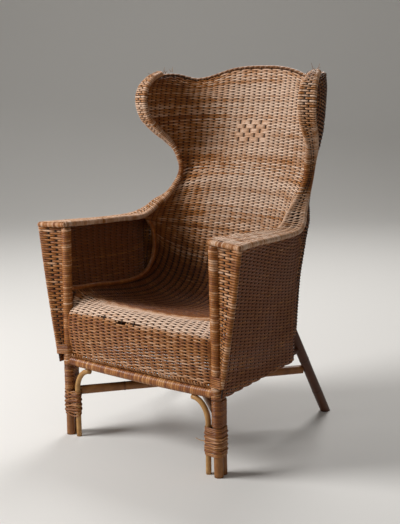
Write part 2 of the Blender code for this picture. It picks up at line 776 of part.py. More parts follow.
def back_grid():
    """The outer back, round from wing to wing, from over the rear legs up to the crest."""
    places, heights = ridge_columns(BACK_RIDGES)
    rows = []
    corner = np.arange(len(BACK_CORNER), dtype=float)
    for t in np.concatenate((corner, edge_places()[edge_places() > corner[-1]][:-1])):
        points = section(back_middle_at(t), back_side_at(t), OUTER_ROUND, places)
        rows.append(dip(points, t + 12.0 - ARM_STATIONS))
    rail = crest_line(places)
    along = np.gradient(rail, axis=0)
    outward = np.stack((-along[:, 1], along[:, 0], np.zeros(len(rail))), axis=1)
    outward /= np.linalg.norm(outward, axis=1, keepdims=True)
    rows.append(rail + outward * (CREST_R + BACK_CREST_GAP + WALL / 2.0))
    grid = ridged(np.array(rows), -heights)
    grid[-1] = rows[-1]
    return grid


def back_panel():
    """The outer weave of the back and of the wings' outer sides."""
    wall("back_panel", back_grid(), "cane_weave")


def crest():
    """The crest rail, along the top of both weaves."""
    places, _ = ridge_columns(SEAT_RIDGES)
    pole("crest_rail", crest_line(places), CREST_R, "cane_wrap", 1)


def back_posts():
    """The hidden uprights between the two weaves of the back."""
    share = BACK_POST_SHARE
    for label, side in SIDES:
        points = []
        for t in range(BACK_POST_FOOT, BACK_POST_TOP + 1):
            level = t - 12 + ARM_STATIONS
            inner = section(middle_at(t), side_at(t), INNER_ROUND, np.array((share,)))[0]
            outer = section(back_middle_at(level), back_side_at(level), OUTER_ROUND, np.array((share,)))[0]
            points.append(toward((inner + outer) / 2.0, inner, BACK_POST_SHIFT))
        pole(f"back_post_{label}", mirrored(points, side), BACK_POST_R, "cane_pole")


def build():
    """Make the collection, the materials and every piece."""
    for obj in list(bpy.data.objects):
        bpy.data.objects.remove(obj, do_unlink=True)
    bpy.context.scene.collection.children.link(bpy.data.collections.new(NAME))
    material("cane_pole", HONEY, 0.45)
    material("cane_weave", HONEY, 0.5)
    material("cane_wrap", BROWN, 0.45)
    material("cane_pale", PALE, 0.4)
    front_legs()
    leg_wraps()
    rails()
    rear_legs()
    stretchers()
    seat_bars()
    edge_poles()
    crest()
    back_posts()
    seat_and_back()
    arm_tops_and_wing_edges()
    arm_fronts()
    side_panels()
    back_panel()


build()
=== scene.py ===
"""The dressed look of an old wing-back armchair, woven strand by strand in cane.

Every weave is laid out as the real one is: level strands that pass in front of one stake and
behind the next, and stakes that run up through them. The outlines repeat those of the part's
source. Lengths are in metres, and y is measured from the line through the two front legs.
"""

import math

import bpy
import numpy as np
from mathutils import Matrix


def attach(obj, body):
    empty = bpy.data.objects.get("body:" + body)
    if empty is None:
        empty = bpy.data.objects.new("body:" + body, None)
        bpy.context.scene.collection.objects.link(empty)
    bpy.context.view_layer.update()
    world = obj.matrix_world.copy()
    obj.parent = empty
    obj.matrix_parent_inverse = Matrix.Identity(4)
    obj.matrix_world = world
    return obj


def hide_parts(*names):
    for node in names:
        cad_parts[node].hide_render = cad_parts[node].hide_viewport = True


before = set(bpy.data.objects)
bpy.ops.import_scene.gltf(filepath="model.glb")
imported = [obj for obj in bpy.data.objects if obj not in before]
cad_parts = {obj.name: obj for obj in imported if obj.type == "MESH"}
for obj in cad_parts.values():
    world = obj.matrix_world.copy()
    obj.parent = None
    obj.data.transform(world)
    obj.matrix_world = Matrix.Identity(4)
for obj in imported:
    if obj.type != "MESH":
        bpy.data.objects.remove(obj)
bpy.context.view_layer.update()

LEG_LINE = -0.3257
SIDES = (("left", -1.0), ("right", 1.0))
X_AXIS, Y_AXIS, Z_AXIS = (1.0, 0.0, 0.0), (0.0, 1.0, 0.0), (0.0, 0.0, 1.0)

# Random numbers start from these; the two sides take SEED_SIDES and the number after it
SEED_INNER, SEED_OUTER, SEED_CREST, SEED_RAILS = 11, 12, 13, 14
SEED_SIDES, SEED_FRAYED, SEED_POLES = 20, 31, 41

# The camera: its turn, tilt and roll, its place, and its focal length as a share of the frame
CAMERA_AZIMUTH, CAMERA_PITCH, CAMERA_ROLL = 0.6316137, 0.2004003, -0.0108514
CAMERA_PLACE = (1.673847, -1.982282 + LEG_LINE, 1.100)
CAMERA_FOCAL = 935.376 / 524.0
SENSOR = 36.0

# Lamps: name, place, size, power; and the brightness of the world
LAMPS = (
    ("key", (-2.4, -2.5, 2.8), 1.8, 182.0),
    ("fill", (3.0, -2.6, 1.6), 2.4, 4.0),
    ("rim", (-0.9, 2.3, 3.4), 1.8, 75.0),
)
LAMP_AIM = (0.0, 0.0, 0.5)
WORLD_POWER = 0.20

# Weave: how far apart rows and stakes are, the half thickness of a strand, a stake's radius, how
# far strands swing off the stakes, and the length to each side that stakes are counted over
ROW = 0.0048
EDGE_ROW = 0.0068
ARM_FRONT_ROW = 0.0070
STAKE_LOW = 0.0228
STAKE_HIGH = 0.0198
STRAND_THICK = 0.0015
STAKE_R = 0.0019
LIFT = 0.0022
HALF_GIRTH = 0.46

# Half widths of strands: as a share of the row spacing, the extra share behind a stake, the
# limits in a wall, an edge and a side panel, and how much they differ from strand to strand
OUTER_FULL = 0.615
PATCH_FULL = 0.66
PANEL_FULL = 0.66
BEHIND = 0.20
WALL_WIDTHS = (0.0009, 0.0046)
EDGE_WIDTHS = (0.0010, 0.0042)
PANEL_WIDTHS = (0.001, 0.0038)
WIDTH_WOBBLE = 0.06
ROW_JITTER = 0.00022

# How much painted shade darkens strands at a stake in the seat; the rings of a strand round a pole, and
# the rods between the two poles of an edge
SEAT_SHADE = 0.85
WRAP_RINGS = 6
RODS = 2

# The inner weave's stretches: name, first station, fullness, and the extra behind a stake
STRETCHES = (
    ("apron_strands", 0.0, 0.56, 0.38), ("seat_strands", 4.9, 0.42, 0.25),
    ("back_strands_low", 10.5, 0.52, BEHIND), ("back_strands_high", 18.0, 0.52, BEHIND),
)

# Broken strands on the front roll, and the mended patch in the back: across, length along the
# middle line, half width and half height
HOLES = ((-0.114, 0.140, 0.010, 0.0030), (-0.044, 0.134, 0.013, 0.0030), (0.006, 0.1355, 0.012, 0.0030))
PATCHES = ((-0.007, 1.1600, 0.060, 0.0345),)

# Outlines, as in the part's source
LEG_R = 0.0135
LEG_FOOT_X = 0.281
LEG_TOP_X = 0.268
ARM_FRONT_Z = 0.662
LEG_TOP = ARM_FRONT_Z - 0.0093
BACK_POLE_R = 0.010
BACK_POLE_TOP = 0.234
BACK_POLE_Y = LEG_R + BACK_POLE_R + 0.0004
BRACE_R = 0.008
BRACE_SPACING = 0.032
BRACE_BEND_Z = 0.150
BRACE_END_X = 0.192
RAIL_R = 0.0145
RAIL_Z = 0.240
RAIL_SAG = 0.004
INNER_R = 0.007
OUTER_R = 0.006
POCKET_R = 0.007
CREST_R = 0.0065
INNER_ROUND = 2.4
OUTER_ROUND = 2.35
APRON_FOOT_Z = 0.2633
OUTER_POST_FOOT_X = 0.301
CLIP_TOP = 0.262
PANEL_FOOT_Z = 0.234
BACK_FOOT_Z = 0.312
CREST_DIP = 0.034
DIP_X = 0.225
DIP_REACH = 0.055
DIP_REACH_IN = 0.095
DIP_FROM = 21.0
DIP_CURVE = 1.7
REAR_LEG_R = 0.0152
REAR_FOOT = (0.272, 0.626, 0.0)
REAR_TOP = (0.256, 0.434, BACK_FOOT_Z)

# The heights that the low lashings reach from and to, which differ from side to side
LASHING_Z = {"left": (0.069, 0.145), "right": (0.059, 0.143)}

# How much slimmer some poles are than their solids, so that joints and windings fit, and the
# share of a pole's radius at which a strand ends inside it
SLIM = 0.0004
INTO_POLE = 0.6

# Stations of MIDDLE: where the inner weave leaves the leg, where it is on the pocket pole and on
# the edge pole, and the crest; and the station at which INNER_EDGE and BACK_MIDDLE start
OFF_LEG, ON_POCKET, ON_EDGE, CREST = 4.0, 5.0, 12.0, 24.0
TABLE_START = 9.0

MIDDLE = (
    (-0.003, APRON_FOOT_Z), (-0.016, 0.320), (-0.021, 0.375), (-0.012, 0.407), (0.015, 0.420),
    (0.062, 0.414), (0.150, 0.396), (0.260, 0.377), (0.360, 0.372), (0.440, 0.395),
    (0.483, 0.450), (0.505, 0.530), (0.523, 0.600), (0.539, 0.655), (0.553, 0.695),
    (0.567, 0.740), (0.585, 0.790), (0.599, 0.840), (0.612, 0.890), (0.623, 0.930),
    (0.634, 0.970), (0.645, 1.020), (0.652, 1.060), (0.657, 1.090), (0.660, 1.108),
)
FRONT_SIDE = ((0.000, APRON_FOOT_Z), (-0.006, 0.320), (-0.008, 0.365), (-0.002, 0.388), (0.012, 0.402))
POCKET = (
    (0.261, 0.035, 0.463), (0.261, 0.125, 0.455), (0.261, 0.250, 0.441), (0.260, 0.340, 0.448),
    (0.258, 0.386, 0.484), (0.256, 0.400, 0.540), (0.256, 0.393, 0.594), (0.257, 0.372, 0.624),
)
INNER_EDGE = (
    (0.266, -0.012, ARM_FRONT_Z), (0.2655, 0.100, 0.654), (0.266, 0.230, 0.646),
    (0.262, 0.335, 0.641), (0.256, 0.380, 0.653), (0.249, 0.418, 0.677), (0.242, 0.464, 0.702),
    (0.2405, 0.5315, 0.768), (0.2485, 0.529, 0.827), (0.265, 0.506, 0.874), (0.279, 0.464, 0.914),
    (0.289, 0.422, 0.960), (0.292, 0.408, 1.013), (0.292, 0.424, 1.056), (0.290, 0.457, 1.083),
    (0.287, 0.495, 1.095),
)
OUTER_EDGE = (
    (0.360, -0.018, 0.655), (0.341, 0.100, 0.649), (0.325, 0.240, 0.641),
    (0.316, 0.355, 0.640), (0.301, 0.414, 0.656), (0.286, 0.446, 0.678), (0.2645, 0.494, 0.704),
    (0.250, 0.547, 0.768), (0.259, 0.550, 0.831), (0.284, 0.516, 0.873), (0.308, 0.470, 0.914),
    (0.323, 0.431, 0.958), (0.329, 0.418, 1.012), (0.325, 0.432, 1.054), (0.313, 0.462, 1.082),
    (0.301, 0.497, 1.097),
)
BACK_MIDDLE = (
    (0.468, BACK_FOOT_Z), (0.485, 0.400), (0.515, 0.500), (0.543, 0.590), (0.566, 0.655),
    (0.582, 0.695), (0.597, 0.740), (0.613, 0.790), (0.627, 0.840), (0.637, 0.890),
    (0.648, 0.930), (0.658, 0.970), (0.666, 1.020), (0.670, 1.060), (0.672, 1.090),
    (0.6735, 1.113),
)
BACK_CORNER = ((0.289, 0.386, BACK_FOOT_Z), (0.290, 0.388, 0.400), (0.293, 0.390, 0.500), (0.300, 0.397, 0.590))
EDGE_END = 15.0

# Finishes: colours of hollows (dirt and painted shade), of the brown, of the body and of worn tops
# (wear and painted highlight); then wear and highlight, dirt and shade, coat, and how much a mesh
# without values of its own is taken as plain pole
POLE_COLOURS = ((0.022, 0.008, 0.003), (0.17, 0.055, 0.013), (0.36, 0.145, 0.036), (0.58, 0.31, 0.11))
FINISHES = (
    ("cane_weave", ((0.016, 0.005, 0.001), (0.22, 0.061, 0.009), (0.45, 0.170, 0.032), (0.90, 0.67, 0.51)),
     1.0, 1.0, 0.12, 0.0),
    ("cane_wrap", ((0.018, 0.006, 0.001), (0.19, 0.050, 0.007), (0.38, 0.130, 0.021), (0.66, 0.36, 0.14)),
     0.75, 1.0, 0.3, 0.0),
    ("cane_pole", POLE_COLOURS, 0.7, 0.85, 0.25, 0.0),
    ("cane_plain", POLE_COLOURS, 0.7, 0.85, 0.25, 1.0),
    ("cane_dark", ((0.014, 0.005, 0.002), (0.060, 0.017, 0.006), (0.110, 0.034, 0.012), (0.20, 0.080, 0.032)),
     0.4, 0.85, 0.15, 0.0),
    ("cane_pale", ((0.12, 0.055, 0.018), (0.34, 0.16, 0.046), (0.50, 0.27, 0.088), (0.72, 0.47, 0.22)),
     0.7, 0.5, 0.2, 0.0),
)


# Curves and sections


def through(points, at):
    """Points on the Catmull-Rom curve through a list of points, at fractional places in that list."""
    p = np.array(points, dtype=float)
    at = np.clip(np.atleast_1d(at).astype(float), 0.0, len(p) - 1.0)
    i = np.minimum(at.astype(int), len(p) - 2)
    f = (at - i)[:, None]
    p1, p2 = p[i], p[i + 1]
    p0 = np.where((i > 0)[:, None], p[np.maximum(i - 1, 0)], 2.0 * p1 - p2)
    p3 = np.where((i < len(p) - 2)[:, None], p[np.minimum(i + 2, len(p) - 1)], 2.0 * p2 - p1)
    turn = 2.0 * p0 - 5.0 * p1 + 4.0 * p2 - p3
    lean = 3.0 * p1 - p0 - 3.0 * p2 + p3
    return 0.5 * (2.0 * p1 + (p2 - p0) * f + turn * f ** 2 + lean * f ** 3)


def unit(v):
    """Vectors scaled to length one."""
    return v / np.maximum(np.linalg.norm(v, axis=-1, keepdims=True), 1e-9)


def square_to(v, way):
    """What is left of vectors once their part along a way is taken off."""
    return v - way * np.sum(v * way, axis=-1, keepdims=True)


def spots(x, y, z):
    """Points from their coordinates, each one value or a list of them."""
    return np.stack(np.broadcast_arrays(x, y, z), axis=-1)


def lengths_along(path):
    """The distance along a path at each of its points."""
    return np.concatenate(([0.0], np.cumsum(np.linalg.norm(np.diff(path, axis=0), axis=1))))


def at_lengths(path, at):
    """The points of a path at distances along it."""
    run = lengths_along(path)
    return np.stack([np.interp(at, run, path[:, k]) for k in range(path.shape[1])], axis=1)


def even_places(path, places, pitch):
    """Places whose points on a path lie a pitch apart along it."""
    run = lengths_along(path)
    count = max(2, int(round(run[-1] / pitch)))
    return np.interp((np.arange(count) + 0.5) / count * run[-1], run, places)


def alternate(row):
    """1 for even rows and -1 for odd ones, as a column."""
    return np.where(row % 2 == 0, 1.0, -1.0)[:, None]


def leg_x(z):
    """Where the front leg's axis stands at a height."""
    return LEG_FOOT_X + (LEG_TOP_X - LEG_FOOT_X) * z / LEG_TOP


def on_pole(table, at, middle, radius):
    """Ends of strands in an edge pole, at places in the pole's table.

    Each lies off the pole's axis, square to it in the side view, towards the middle line.
    """
    step = 0.02
    side_view = np.array((0.0, 1.0, 1.0))
    axis = through(table, at)
    flat = unit((through(table, at + step) - through(table, at - step)) * side_view)
    return axis + unit(square_to((middle - axis) * side_view, flat)) * radius * INTO_POLE


def as_points(yz):
    """Side-view pairs as points of the middle plane."""
    return spots(0.0, yz[:, 0], yz[:, 1])


def inner_side(t, middle):
    """The side line of the inner weave: beside the leg, then along the pocket pole, then the edge pole."""
    low = through(FRONT_SIDE, np.minimum(t, OFF_LEG))
    by_leg = spots(leg_x(low[:, 1]) - 0.5 * LEG_R, low[:, 0], low[:, 1])
    by_pocket = on_pole(POCKET, np.clip(t, ON_POCKET, ON_EDGE) - ON_POCKET, middle, POCKET_R)
    by_edge = on_pole(INNER_EDGE, np.maximum(t, ON_EDGE) - TABLE_START, middle, INNER_R)
    mix = np.clip(t - OFF_LEG, 0.0, 1.0)[:, None] ** np.array((1.0, 3.0, 1.0))
    high = np.clip(t - (ON_EDGE - 0.5), 0.0, 1.0)[:, None]
    return (by_leg * (1.0 - mix) + by_pocket * mix) * (1.0 - high) + by_edge * high


def outer_side(t, middle):
    """The side line of the outer back: behind the side panel, then behind the outer edge pole."""
    last = len(BACK_CORNER) - 1.0
    corner = through(BACK_CORNER, np.minimum(t, last))
    edge = on_pole(OUTER_EDGE, np.maximum(t, last), middle, OUTER_R)
    mix = np.clip(t - last, 0.0, 1.0)[:, None]
    return corner * (1.0 - mix) + edge * mix


def section(middle, side, roundness, across):
    """Points of one level at distances across it from the middle, on a superellipse, and its half length.

    With a from 0 to a right angle, x goes as sin(a) to the power 2/n, and the depth as
    1 - cos(a) to the power 2/n. Distances past the end stay at the end.
    """
    angle = np.linspace(0.0, math.pi / 2.0, 65)
    out = np.sin(angle) ** (2.0 / roundness)
    back = 1.0 - np.cos(angle) ** (2.0 / roundness)
    half = middle + (side - middle) * spots(out, back, back)
    points = at_lengths(half, np.abs(across))
    points[:, 0] *= np.sign(across)
    return points, lengths_along(half)[-1]


def dipped(points, t):
    """Levels near the crest, lowered where the back turns into the wings."""
    share = 1.0 - np.clip((CREST - t) / (CREST - DIP_FROM), 0.0, 1.0) ** DIP_CURVE
    past = np.abs(points[..., 0]) - DIP_X
    near = np.exp(-((past / np.where(past < 0.0, DIP_REACH_IN, DIP_REACH)) ** 2))
    points[..., 2] -= CREST_DIP * share * near
    return points


def bucket(across, middles, sides, roundness, stations):
    """A grid of points of a weave, one level for each station, and the half length of each level."""
    rows, halves = [], []
    for level, middle, side, station in zip(across, middles, sides, stations):
        points, half = section(middle, side, roundness, level)
        rows.append(dipped(points, station))
        halves.append(half)
    return np.array(rows), np.array(halves)[:, None]


def inner_bucket(t, across):
    """The inner weave at stations t."""
    middles = as_points(through(MIDDLE, t))
    return bucket(across, middles, inner_side(t, middles), INNER_ROUND, t)


def outer_bucket(t, across):
    """The outer back at places t of its table."""
    middles = as_points(through(BACK_MIDDLE, t))
    return bucket(across, middles, outer_side(t, middles), OUTER_ROUND, t + TABLE_START)


def stake_spacing(t):
    """How far apart the stakes stand at a station: wider in the apron and seat than in the back."""
    share = np.clip((t - OFF_LEG) / (ON_EDGE - OFF_LEG), 0.0, 1.0)
    return STAKE_LOW + (STAKE_HIGH - STAKE_LOW) * share


def back_spacing(t):
    """How far apart the stakes of the outer back stand."""
    return np.full(len(t), STAKE_HIGH)


def rows_of(table, last, steps):
    """Places in a table of side-view points whose rows lie evenly along it, and their distances."""
    dense = np.linspace(0.0, last, steps)
    path = as_points(through(table, dense))
    t = even_places(path, dense, ROW)
    return t, np.interp(t, dense, lengths_along(path))


def crest_line(across):
    """The axis of the crest rail, and half its length."""
    top = as_points(through(MIDDLE, CREST))[0] + np.array((0.0, 0.0, CREST_R))
    tip = (np.array(INNER_EDGE[-1]) + np.array(OUTER_EDGE[-1])) / 2.0 + np.array((0.0, CREST_R, 0.0))
    points, half = section(top, tip, INNER_ROUND, across)
    return dipped(points, CREST), half


# Meshes


def mesh_piece(name, points, quads, caps, finish, replaced, attributes):
    """One object from points in the leg line's frame, its faces, and a value for each point."""
    mesh = bpy.data.meshes.new(name)
    placed = points.reshape(-1, 3) + np.array((0.0, LEG_LINE, 0.0))
    corners = np.concatenate([face.ravel() for face in (quads, *caps)])
    sizes = np.concatenate([np.full(len(face), face.shape[1]) for face in (quads, *caps) if len(face)])
    first = np.concatenate(([0], np.cumsum(sizes)[:-1]))
    mesh.vertices.add(len(placed))
    mesh.vertices.foreach_set("co", placed.astype(np.float32).ravel())
    mesh.loops.add(len(corners))
    mesh.loops.foreach_set("vertex_index", corners.astype(np.int32))
    mesh.polygons.add(len(sizes))
    mesh.polygons.foreach_set("loop_start", first.astype(np.int32))
    mesh.polygons.foreach_set("loop_total", sizes.astype(np.int32))
    mesh.polygons.foreach_set("use_smooth", np.ones(len(sizes), dtype=bool))
    mesh.update(calc_edges=True)
    mesh.validate()
    for key, values in attributes.items():
        layer = mesh.attributes.new(key, "FLOAT", "POINT")
        layer.data.foreach_set("value", np.asarray(values, dtype=np.float32).ravel())
    obj = bpy.data.objects.new(name, mesh)
    bpy.context.scene.collection.objects.link(obj)
    mesh.materials.append(bpy.data.materials[finish])
    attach(obj, "root")
    if replaced:
        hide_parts(*replaced)


def skin(a, b):
    """Four-cornered faces between the rings of point numbers a and the rings b beside them."""
    return np.stack((a, np.roll(a, -1, axis=1), np.roll(b, -1, axis=1), b), axis=2).reshape(-1, 4)


def strands(name, centre, frames, half_width, half_thick, tone, lift, finish, replaced, sides=5, mirror=1.0,
            present=True):
    """Closed tubes of oval section, one for each row of centre points.

    A ring stands at each centre point: the frames' wide way times the half width times cos(a),
    plus their high way times the half thickness times sin(a), for a round the circle. Where two
    neighbours are both present they are joined, and each loose end is closed. Widths, tones and
    lifts are each one value, or one for each centre point.
    """
    shape = centre.shape[:2]
    rows, columns = shape
    wide, high = (np.broadcast_to(way, centre.shape)[:, :, None] for way in frames)
    half_width, half_thick, tone, lift, present = (
        np.broadcast_to(value, shape) for value in (half_width, half_thick, tone, lift, present))
    angle = 2.0 * math.pi * np.arange(sides) / sides + 0.5 * math.pi
    turn = np.sum(np.cross(wide, high)[:, :, 0] * np.gradient(centre, axis=1), axis=2)
    if np.sum(turn * present) * mirror < 0.0:
        angle = -angle
    ring = wide * (half_width[:, :, None] * np.cos(angle))[..., None]
    ring = ring + high * (half_thick[:, :, None] * np.sin(angle))[..., None]
    points = (centre[:, :, None] + ring) * np.array((mirror, 1.0, 1.0))
    index = np.arange(rows * columns * sides).reshape(rows, columns, sides)
    joined = present[:, :-1] & present[:, 1:]
    quads = skin(index[:, :-1][joined], index[:, 1:][joined])
    padded = np.pad(joined, ((0, 0), (1, 1)))
    starts = index[(~padded[:, :-1]) & padded[:, 1:]][:, ::-1]
    ends = index[padded[:, :-1] & ~padded[:, 1:]]
    used = np.unique(np.concatenate((quads.ravel(), starts.ravel(), ends.ravel())))
    new = np.zeros(rows * columns * sides, dtype=int)
    new[used] = np.arange(len(used))
    run = np.cumsum(np.linalg.norm(np.diff(centre, axis=1, prepend=centre[:, :1]), axis=2), axis=1)
    spread = np.ones(sides)
    # Lift falls towards a strand's sides: the finish paints shade between rows and keeps its highlight on the
    # crown
    values = {
        "tone": tone[:, :, None] * spread,
        "lift": lift[:, :, None] * (1.0 - 0.85 * np.cos(angle) ** 2),
        "along": (run + 1.7 * np.arange(rows)[:, None])[:, :, None] * spread,
    }
    values = {key: value.ravel()[used] for key, value in values.items()}
    caps = (new[starts], new[ends])
    mesh_piece(name, points.reshape(-1, 3)[used], new[quads], caps, finish, replaced, values)


def ribbon(centre, normal):
    """The wide and the high way of strands that lie flat on a surface with this normal."""
    along = unit(np.gradient(centre, axis=1) + 1e-9)
    wide = unit(np.cross(normal, along))
    return wide, unit(np.cross(along, wide))


def field_frames(points):
    """The normals of a grid of points, and its row spacing."""
    across = np.gradient(points, axis=1)
    up = np.gradient(points, axis=0)
    return unit(np.cross(across, up)), np.linalg.norm(square_to(up, unit(across)), axis=2)


def filled_ends(values, present):
    """Values past a row's end take those of the last present point."""
    columns = np.arange(present.shape[1])[None, :]
    mid = present.shape[1] // 2
    half = np.maximum(1, present.sum(axis=1)[:, None] // 2 - 1)
    nearest = np.clip(columns, mid - half, mid + half)
    return np.take_along_axis(values, nearest[:, :, None], axis=1)


def weave_values(rng, rows, columns, step):
    """A tone for each strand that drifts along it."""
    base = np.clip(rng.normal(0.5, 0.16, (rows, 1)), 0.28, 0.80)
    knots = rng.normal(0.0, 0.10, (rows, columns // step + 2))
    at = np.arange(columns) / step
    low = at.astype(int)
    drift = knots[:, low] * (1.0 - (at - low)) + knots[:, low + 1] * (at - low)
    return np.clip(base + drift, 0.0, 1.0)


def worn_away(across, level, holes, rng):
    """Where strands are missing: round each hole (across, level, half width, half height), with ragged ends."""
    gone = np.zeros(across.shape, dtype=bool)
    for middle, height, wide, tall in holes:
        ragged = wide * (1.0 + rng.normal(0.0, 0.25, (len(level), 1)))
        inside = np.abs(level[:, None] - height) < tall
        gone |= inside & (np.abs(across - middle) < ragged)
    return gone


def over_under(sign, number):
    """How far forward strands stand, from 1 in front of a stake to -1 behind one.

    It is 1 - 2 u^4, where u goes from 0 to 1 as half of one minus the cosine.
    """
    behind = 0.5 - 0.5 * sign * np.cos(math.pi * number)
    return 1.0 - 2.0 * behind ** 4


def at_stakes(number, sharp):
    """1 at the middle of each stake, and falling to 0 between them."""
    return np.clip(1.0 - sharp * np.abs(number - np.round(number)), 0.0, 1.0)


def woven_wall(name, surface, spacing_at, t, level, rng, replaced, per_stake, sides, full, shade,
               behind=BEHIND, first=0, holes=(), patches=()):
    """Level strands over and under the stakes of one stretch of weave.

    A strand's centre is its level on the surface, moved along the normal by the lift times the
    height of over_under, with the sign changing from row to row. Its half width is a share of the
    row spacing, and grows as it goes behind a stake, where it spreads and closes the wall.
    """
    stake = spacing_at(t)[:, None]
    columns = int(HALF_GIRTH / stake.min()) * per_stake
    number = np.arange(-columns, columns + 1) / per_stake
    across = number * stake
    points, half = surface(t, across)
    present = np.abs(across) <= half + stake / per_stake * 0.999
    normal, spacing = field_frames(points)
    normal = unit(filled_ends(normal, present))
    spacing = filled_ends(spacing[:, :, None], present)[:, :, 0]
    row = first + np.arange(len(t))
    wave = over_under(alternate(row), number)
    tone = weave_values(rng, len(t), len(number), per_stake * 5) + shade(points)
    broad = np.full(wave.shape, full)
    for middle, height, reach, tall in patches:
        inside = (np.abs(across - middle) < reach) & (np.abs(level[:, None] - height) < tall)
        wave = np.where(inside, over_under(alternate(row // 3), number), wave)
        tone = np.where(inside, 0.78 + 0.2 * tone, tone)
        broad = np.where(inside, PATCH_FULL, broad)
    broad = broad + behind * (0.5 - 0.5 * wave)
    near_end = np.clip((half - np.abs(across)) / (0.6 * stake), 0.0, 1.0)
    off = LIFT * wave * near_end + rng.normal(0.0, ROW_JITTER, (len(t), 1))
    centre = points + normal * off[:, :, None]
    half_width = np.clip(spacing * broad, *WALL_WIDTHS) * (1.0 + rng.normal(0.0, WIDTH_WOBBLE, (len(t), 1)))
    present = present & ~worn_away(across, level, holes, rng)
    # Lift for the finish: low behind a stake and, in the seat, at each stake, where painted shade darkens
    # strands
    y, z = points[..., 1], points[..., 2]
    seat = np.clip((y - 0.07) / 0.05, 0.0, 1.0) * np.clip((0.60 - z) / 0.10, 0.0, 1.0)
    lift = (0.5 + 0.5 * wave * near_end) * (1.0 - SEAT_SHADE * seat * at_stakes(number, 3.2))
    strands(name, centre, ribbon(centre, normal), half_width, STRAND_THICK, tone, lift, "cane_weave", replaced,
            sides, present=present)


def uprights(name, points, normal, tone, lift, replaced, sides, mirror=1.0, present=True):
    """Stakes along the columns of a grid of points."""
    centre, normal = np.swapaxes(points, 0, 1), np.swapaxes(normal, 0, 1)
    wide, _ = ribbon(centre, normal)
    strands(name, centre, (wide, normal), STAKE_R, STAKE_R, tone, lift, "cane_weave", replaced, sides, mirror,
            present)


def stakes(name, surface, spacing_at, t, rng, replaced):
    """The upright stakes of a weave: tubes at even distances across it."""
    spacing = spacing_at(t)[:, None]
    count = int(HALF_GIRTH / spacing.min())
    across = np.arange(-count, count + 1) * spacing
    points, half = surface(t, across)
    present = np.abs(across) <= half - 0.3 * spacing
    # Stakes take a darker tone and almost no lift, so the finish paints them dark as shade between the strands
    tone = np.clip(rng.normal(0.35, 0.12, (2 * count + 1, 1)), 0.0, 1.0)
    uprights(name, points, field_frames(points)[0], tone, 0.06, replaced, 4, present=present.T)


def edge_strip(name, a, b, radius_a, radius_b, rng, mirror, replaced, full, wrap=(2.5, 2.5), lift=LIFT,
               reach=10, shade=lambda points: 0.0):
    """Strands woven across a strip between two edge poles, wrapped round both poles.

    In the plane across the strip, with u from pole to pole and n square to it, a strand starts
    under the first pole, goes round it on a circle, crosses over and under the rods as
    over_under says, and ends round the second pole.
    """
    rows = len(a)
    run = unit(np.gradient(a, axis=0) + np.gradient(b, axis=0))
    gap = square_to(b - a, run)
    slip = (b - a) - gap
    width = np.linalg.norm(gap, axis=1, keepdims=True)
    over = unit(gap)
    up = unit(np.cross(over, run))
    rise_a, rise_b = radius_a + STRAND_THICK, radius_b + STRAND_THICK
    turn_a = np.linspace(-wrap[0], 0.0, WRAP_RINGS)
    turn_b = np.linspace(0.0, wrap[1], WRAP_RINGS)
    flat = np.linspace(0.0, 1.0, reach + 2)[1:-1]
    fade = np.clip((width - 0.016) / 0.03, 0.0, 1.0)

    def swing(share):
        """How freely strands swing at a share of the width: not at all on the poles."""
        return np.sin(math.pi * share) ** 0.35 * fade

    def height(share):
        """How high the strip lies at a share of its width, sunk between its poles."""
        return rise_a + (rise_b - rise_a) * share - 1.2 * lift * swing(share)

    wave = over_under(alternate(np.arange(rows)), flat * (RODS + 1)) * swing(flat)
    u = np.concatenate(
        (np.tile(rise_a * np.sin(turn_a), (rows, 1)), width * flat, width + rise_b * np.sin(turn_b)), axis=1)
    n = np.concatenate((
        np.tile(rise_a * np.cos(turn_a), (rows, 1)), height(flat) + lift * wave,
        np.tile(rise_b * np.cos(turn_b), (rows, 1)),
    ), axis=1) + rng.normal(0.0, 0.0002, (rows, 1))
    share = np.clip(u / width, 0.0, 1.0)[:, :, None]
    centre = a[:, None] + over[:, None] * u[:, :, None] + up[:, None] * n[:, :, None] + slip[:, None] * share
    along = unit(np.gradient(centre, axis=1) + 1e-9)
    spacing = np.linalg.norm(square_to(np.gradient(centre, axis=0), along), axis=2)
    wide = unit(square_to(run[:, None], along))
    half_width = np.clip(spacing * full, *EDGE_WIDTHS) * (1.0 + rng.normal(0.0, WIDTH_WOBBLE, (rows, 1)))
    tone = weave_values(rng, rows, centre.shape[1], 7) + shade(centre)
    # Lift for the finish: low behind a rod, and on the arm tops lower at each rod by a random depth, as painted
    # shade
    on_arm = np.clip((0.70 - a[:, 2:]) / 0.03, 0.0, 1.0) * np.clip(a[:, 1:2] * 40.0, 0.0, 1.0)
    depth = rng.uniform(0.35, 1.0, (rows, 1)) * np.where(wave < 0.0, 1.0, 0.8)
    unshaded = (0.5 + 0.5 * wave) * (1.0 - on_arm * at_stakes(flat * (RODS + 1), 2.6) * depth)
    unshaded = np.pad(unshaded, ((0, 0), (WRAP_RINGS, WRAP_RINGS)), constant_values=0.8)
    strands(name, centre, (wide, unit(np.cross(along, wide))), half_width, STRAND_THICK, tone, unshaded,
            "cane_weave", replaced, 5, mirror)
    share = np.arange(1, RODS + 1) / (RODS + 1.0)
    rod = a + (over * width + slip) * share[:, None, None] + up * height(share).T[:, :, None]
    rod = rod[:, ::2]
    # The rods take no lift, so the finish paints them dark as shade beneath the strands
    strands(f"{name}_rods", rod, ribbon(rod, up[::2]), STAKE_R, STAKE_R, 0.3, 0.0, "cane_weave", (), 5, mirror)


